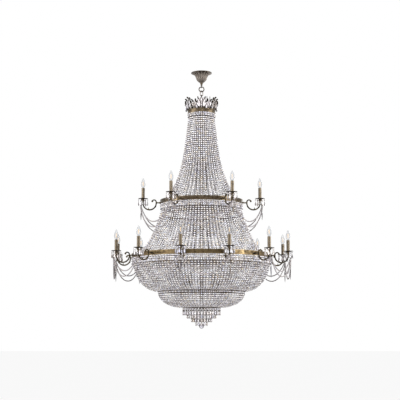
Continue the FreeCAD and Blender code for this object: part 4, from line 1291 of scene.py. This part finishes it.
def paleFloor():
    finish = Finish("paleFloor")
    cloud = finish.ramp(finish.grain(0.4), {0.0: "f4f4f3", 1.0: "ffffff"})
    matt = finish.surface({"Base Color": cloud, "Roughness": 0.9})
    white = finish.node("Emission", {"Color": (1, 1, 1, 1), "Strength": 1.0})
    return finish.finished(finish.blend(whenSeen(finish) * 0.85, matt, white))


floorMesh = bpy.data.meshes.new("studioFloor")
half = room["wide"] / 2
ends = ((-half, -half), (half, -half), (half, half), (-half, half))
floorMesh.from_pydata([(x, y, room["floor"]) for x, y in ends], [], [(0, 1, 2, 3)])
floorMesh.materials.append(paleFloor())
placed("studioFloor", floorMesh)


def makeSky():
    # white to look at; a dark gap in front, between the softboxes, shows only in reflections
    sky = Finish("studioSky", bpy.data.worlds)
    bpy.context.scene.world = sky.material
    heading = sky.node("TexCoord", {}, "Generated")
    ways = {0: heading, 1: room["gapWay"]}
    toGap = sky.node("VectorMath", ways, "Value", operation="DOT_PRODUCT")
    rise = sky.node("SeparateXYZ", {0: heading}, 2)
    gap = sky.clamp(toGap, *room["gapEdges"]) * sky.clamp(rise, *room["gapTop"])
    shades = sky.ramp(gap, {0.0: (1, 1, 1), 1.0: (room["gapDark"],) * 3})

    def background(colour, strength):
        return sky.node("Background", {"Color": colour, "Strength": strength})

    light = background((1, 1, 1, 1), room["sky"])
    glossy = sky.node("LightPath", {}, "Is Glossy Ray")
    seen = sky.blend(glossy, background((1, 1, 1, 1), 1.0), background(shades, 1.0))
    sky.finished(sky.blend(whenSeen(sky), light, seen))


makeSky()

lights = {
    "keySoftbox": {"place": (-4.8, -1.9, 0.6), "size": 3.4, "power": 190},
    "fillSoftbox": {"place": (4.9, -1.7, -0.2), "size": 3.4, "power": 170},
    "topSoftbox": {"place": (0.6, -1.0, 4.2), "size": 3.0, "power": 70},
    "frontSoftbox": {"place": (0.4, -7.0, 2.2), "size": 3.0, "power": 90},
    "backSoftbox": {"place": (1.5, 5.0, -0.5), "size": 3.0, "power": 60},
}
middle = Vector((0, 0, -1.1))
for name, light in lights.items():
    lamp = bpy.data.lights.new(name, "AREA")
    lamp.shape = "DISK"
    lamp.size = light["size"]
    lamp.energy = light["power"]
    holder = placed(name, lamp)
    holder.location = light["place"]
    holder.rotation_euler = (middle - Vector(light["place"])).to_track_quat("-Z", "Y").to_euler()

cameraSetup = {"distance": 8.345, "height": -2.1205, "side": -0.0122, "pitch": 7.413, "lens": 95.36}
camera = bpy.data.cameras.new("camera")
camera.lens = cameraSetup["lens"]
camera.clip_end = 200
cameraHolder = placed("camera", camera)
cameraHolder.location = (cameraSetup["side"], -cameraSetup["distance"], cameraSetup["height"])
cameraHolder.rotation_euler = (radians(90 + cameraSetup["pitch"]), 0, 0)
bpy.context.scene.camera = cameraHolder
bpy.context.scene.view_settings.view_transform = "Standard"
faces = sum(len(thing.data.polygons) for thing in bpy.data.objects if thing.type == "MESH")
print("studio ready; faces:", faces)
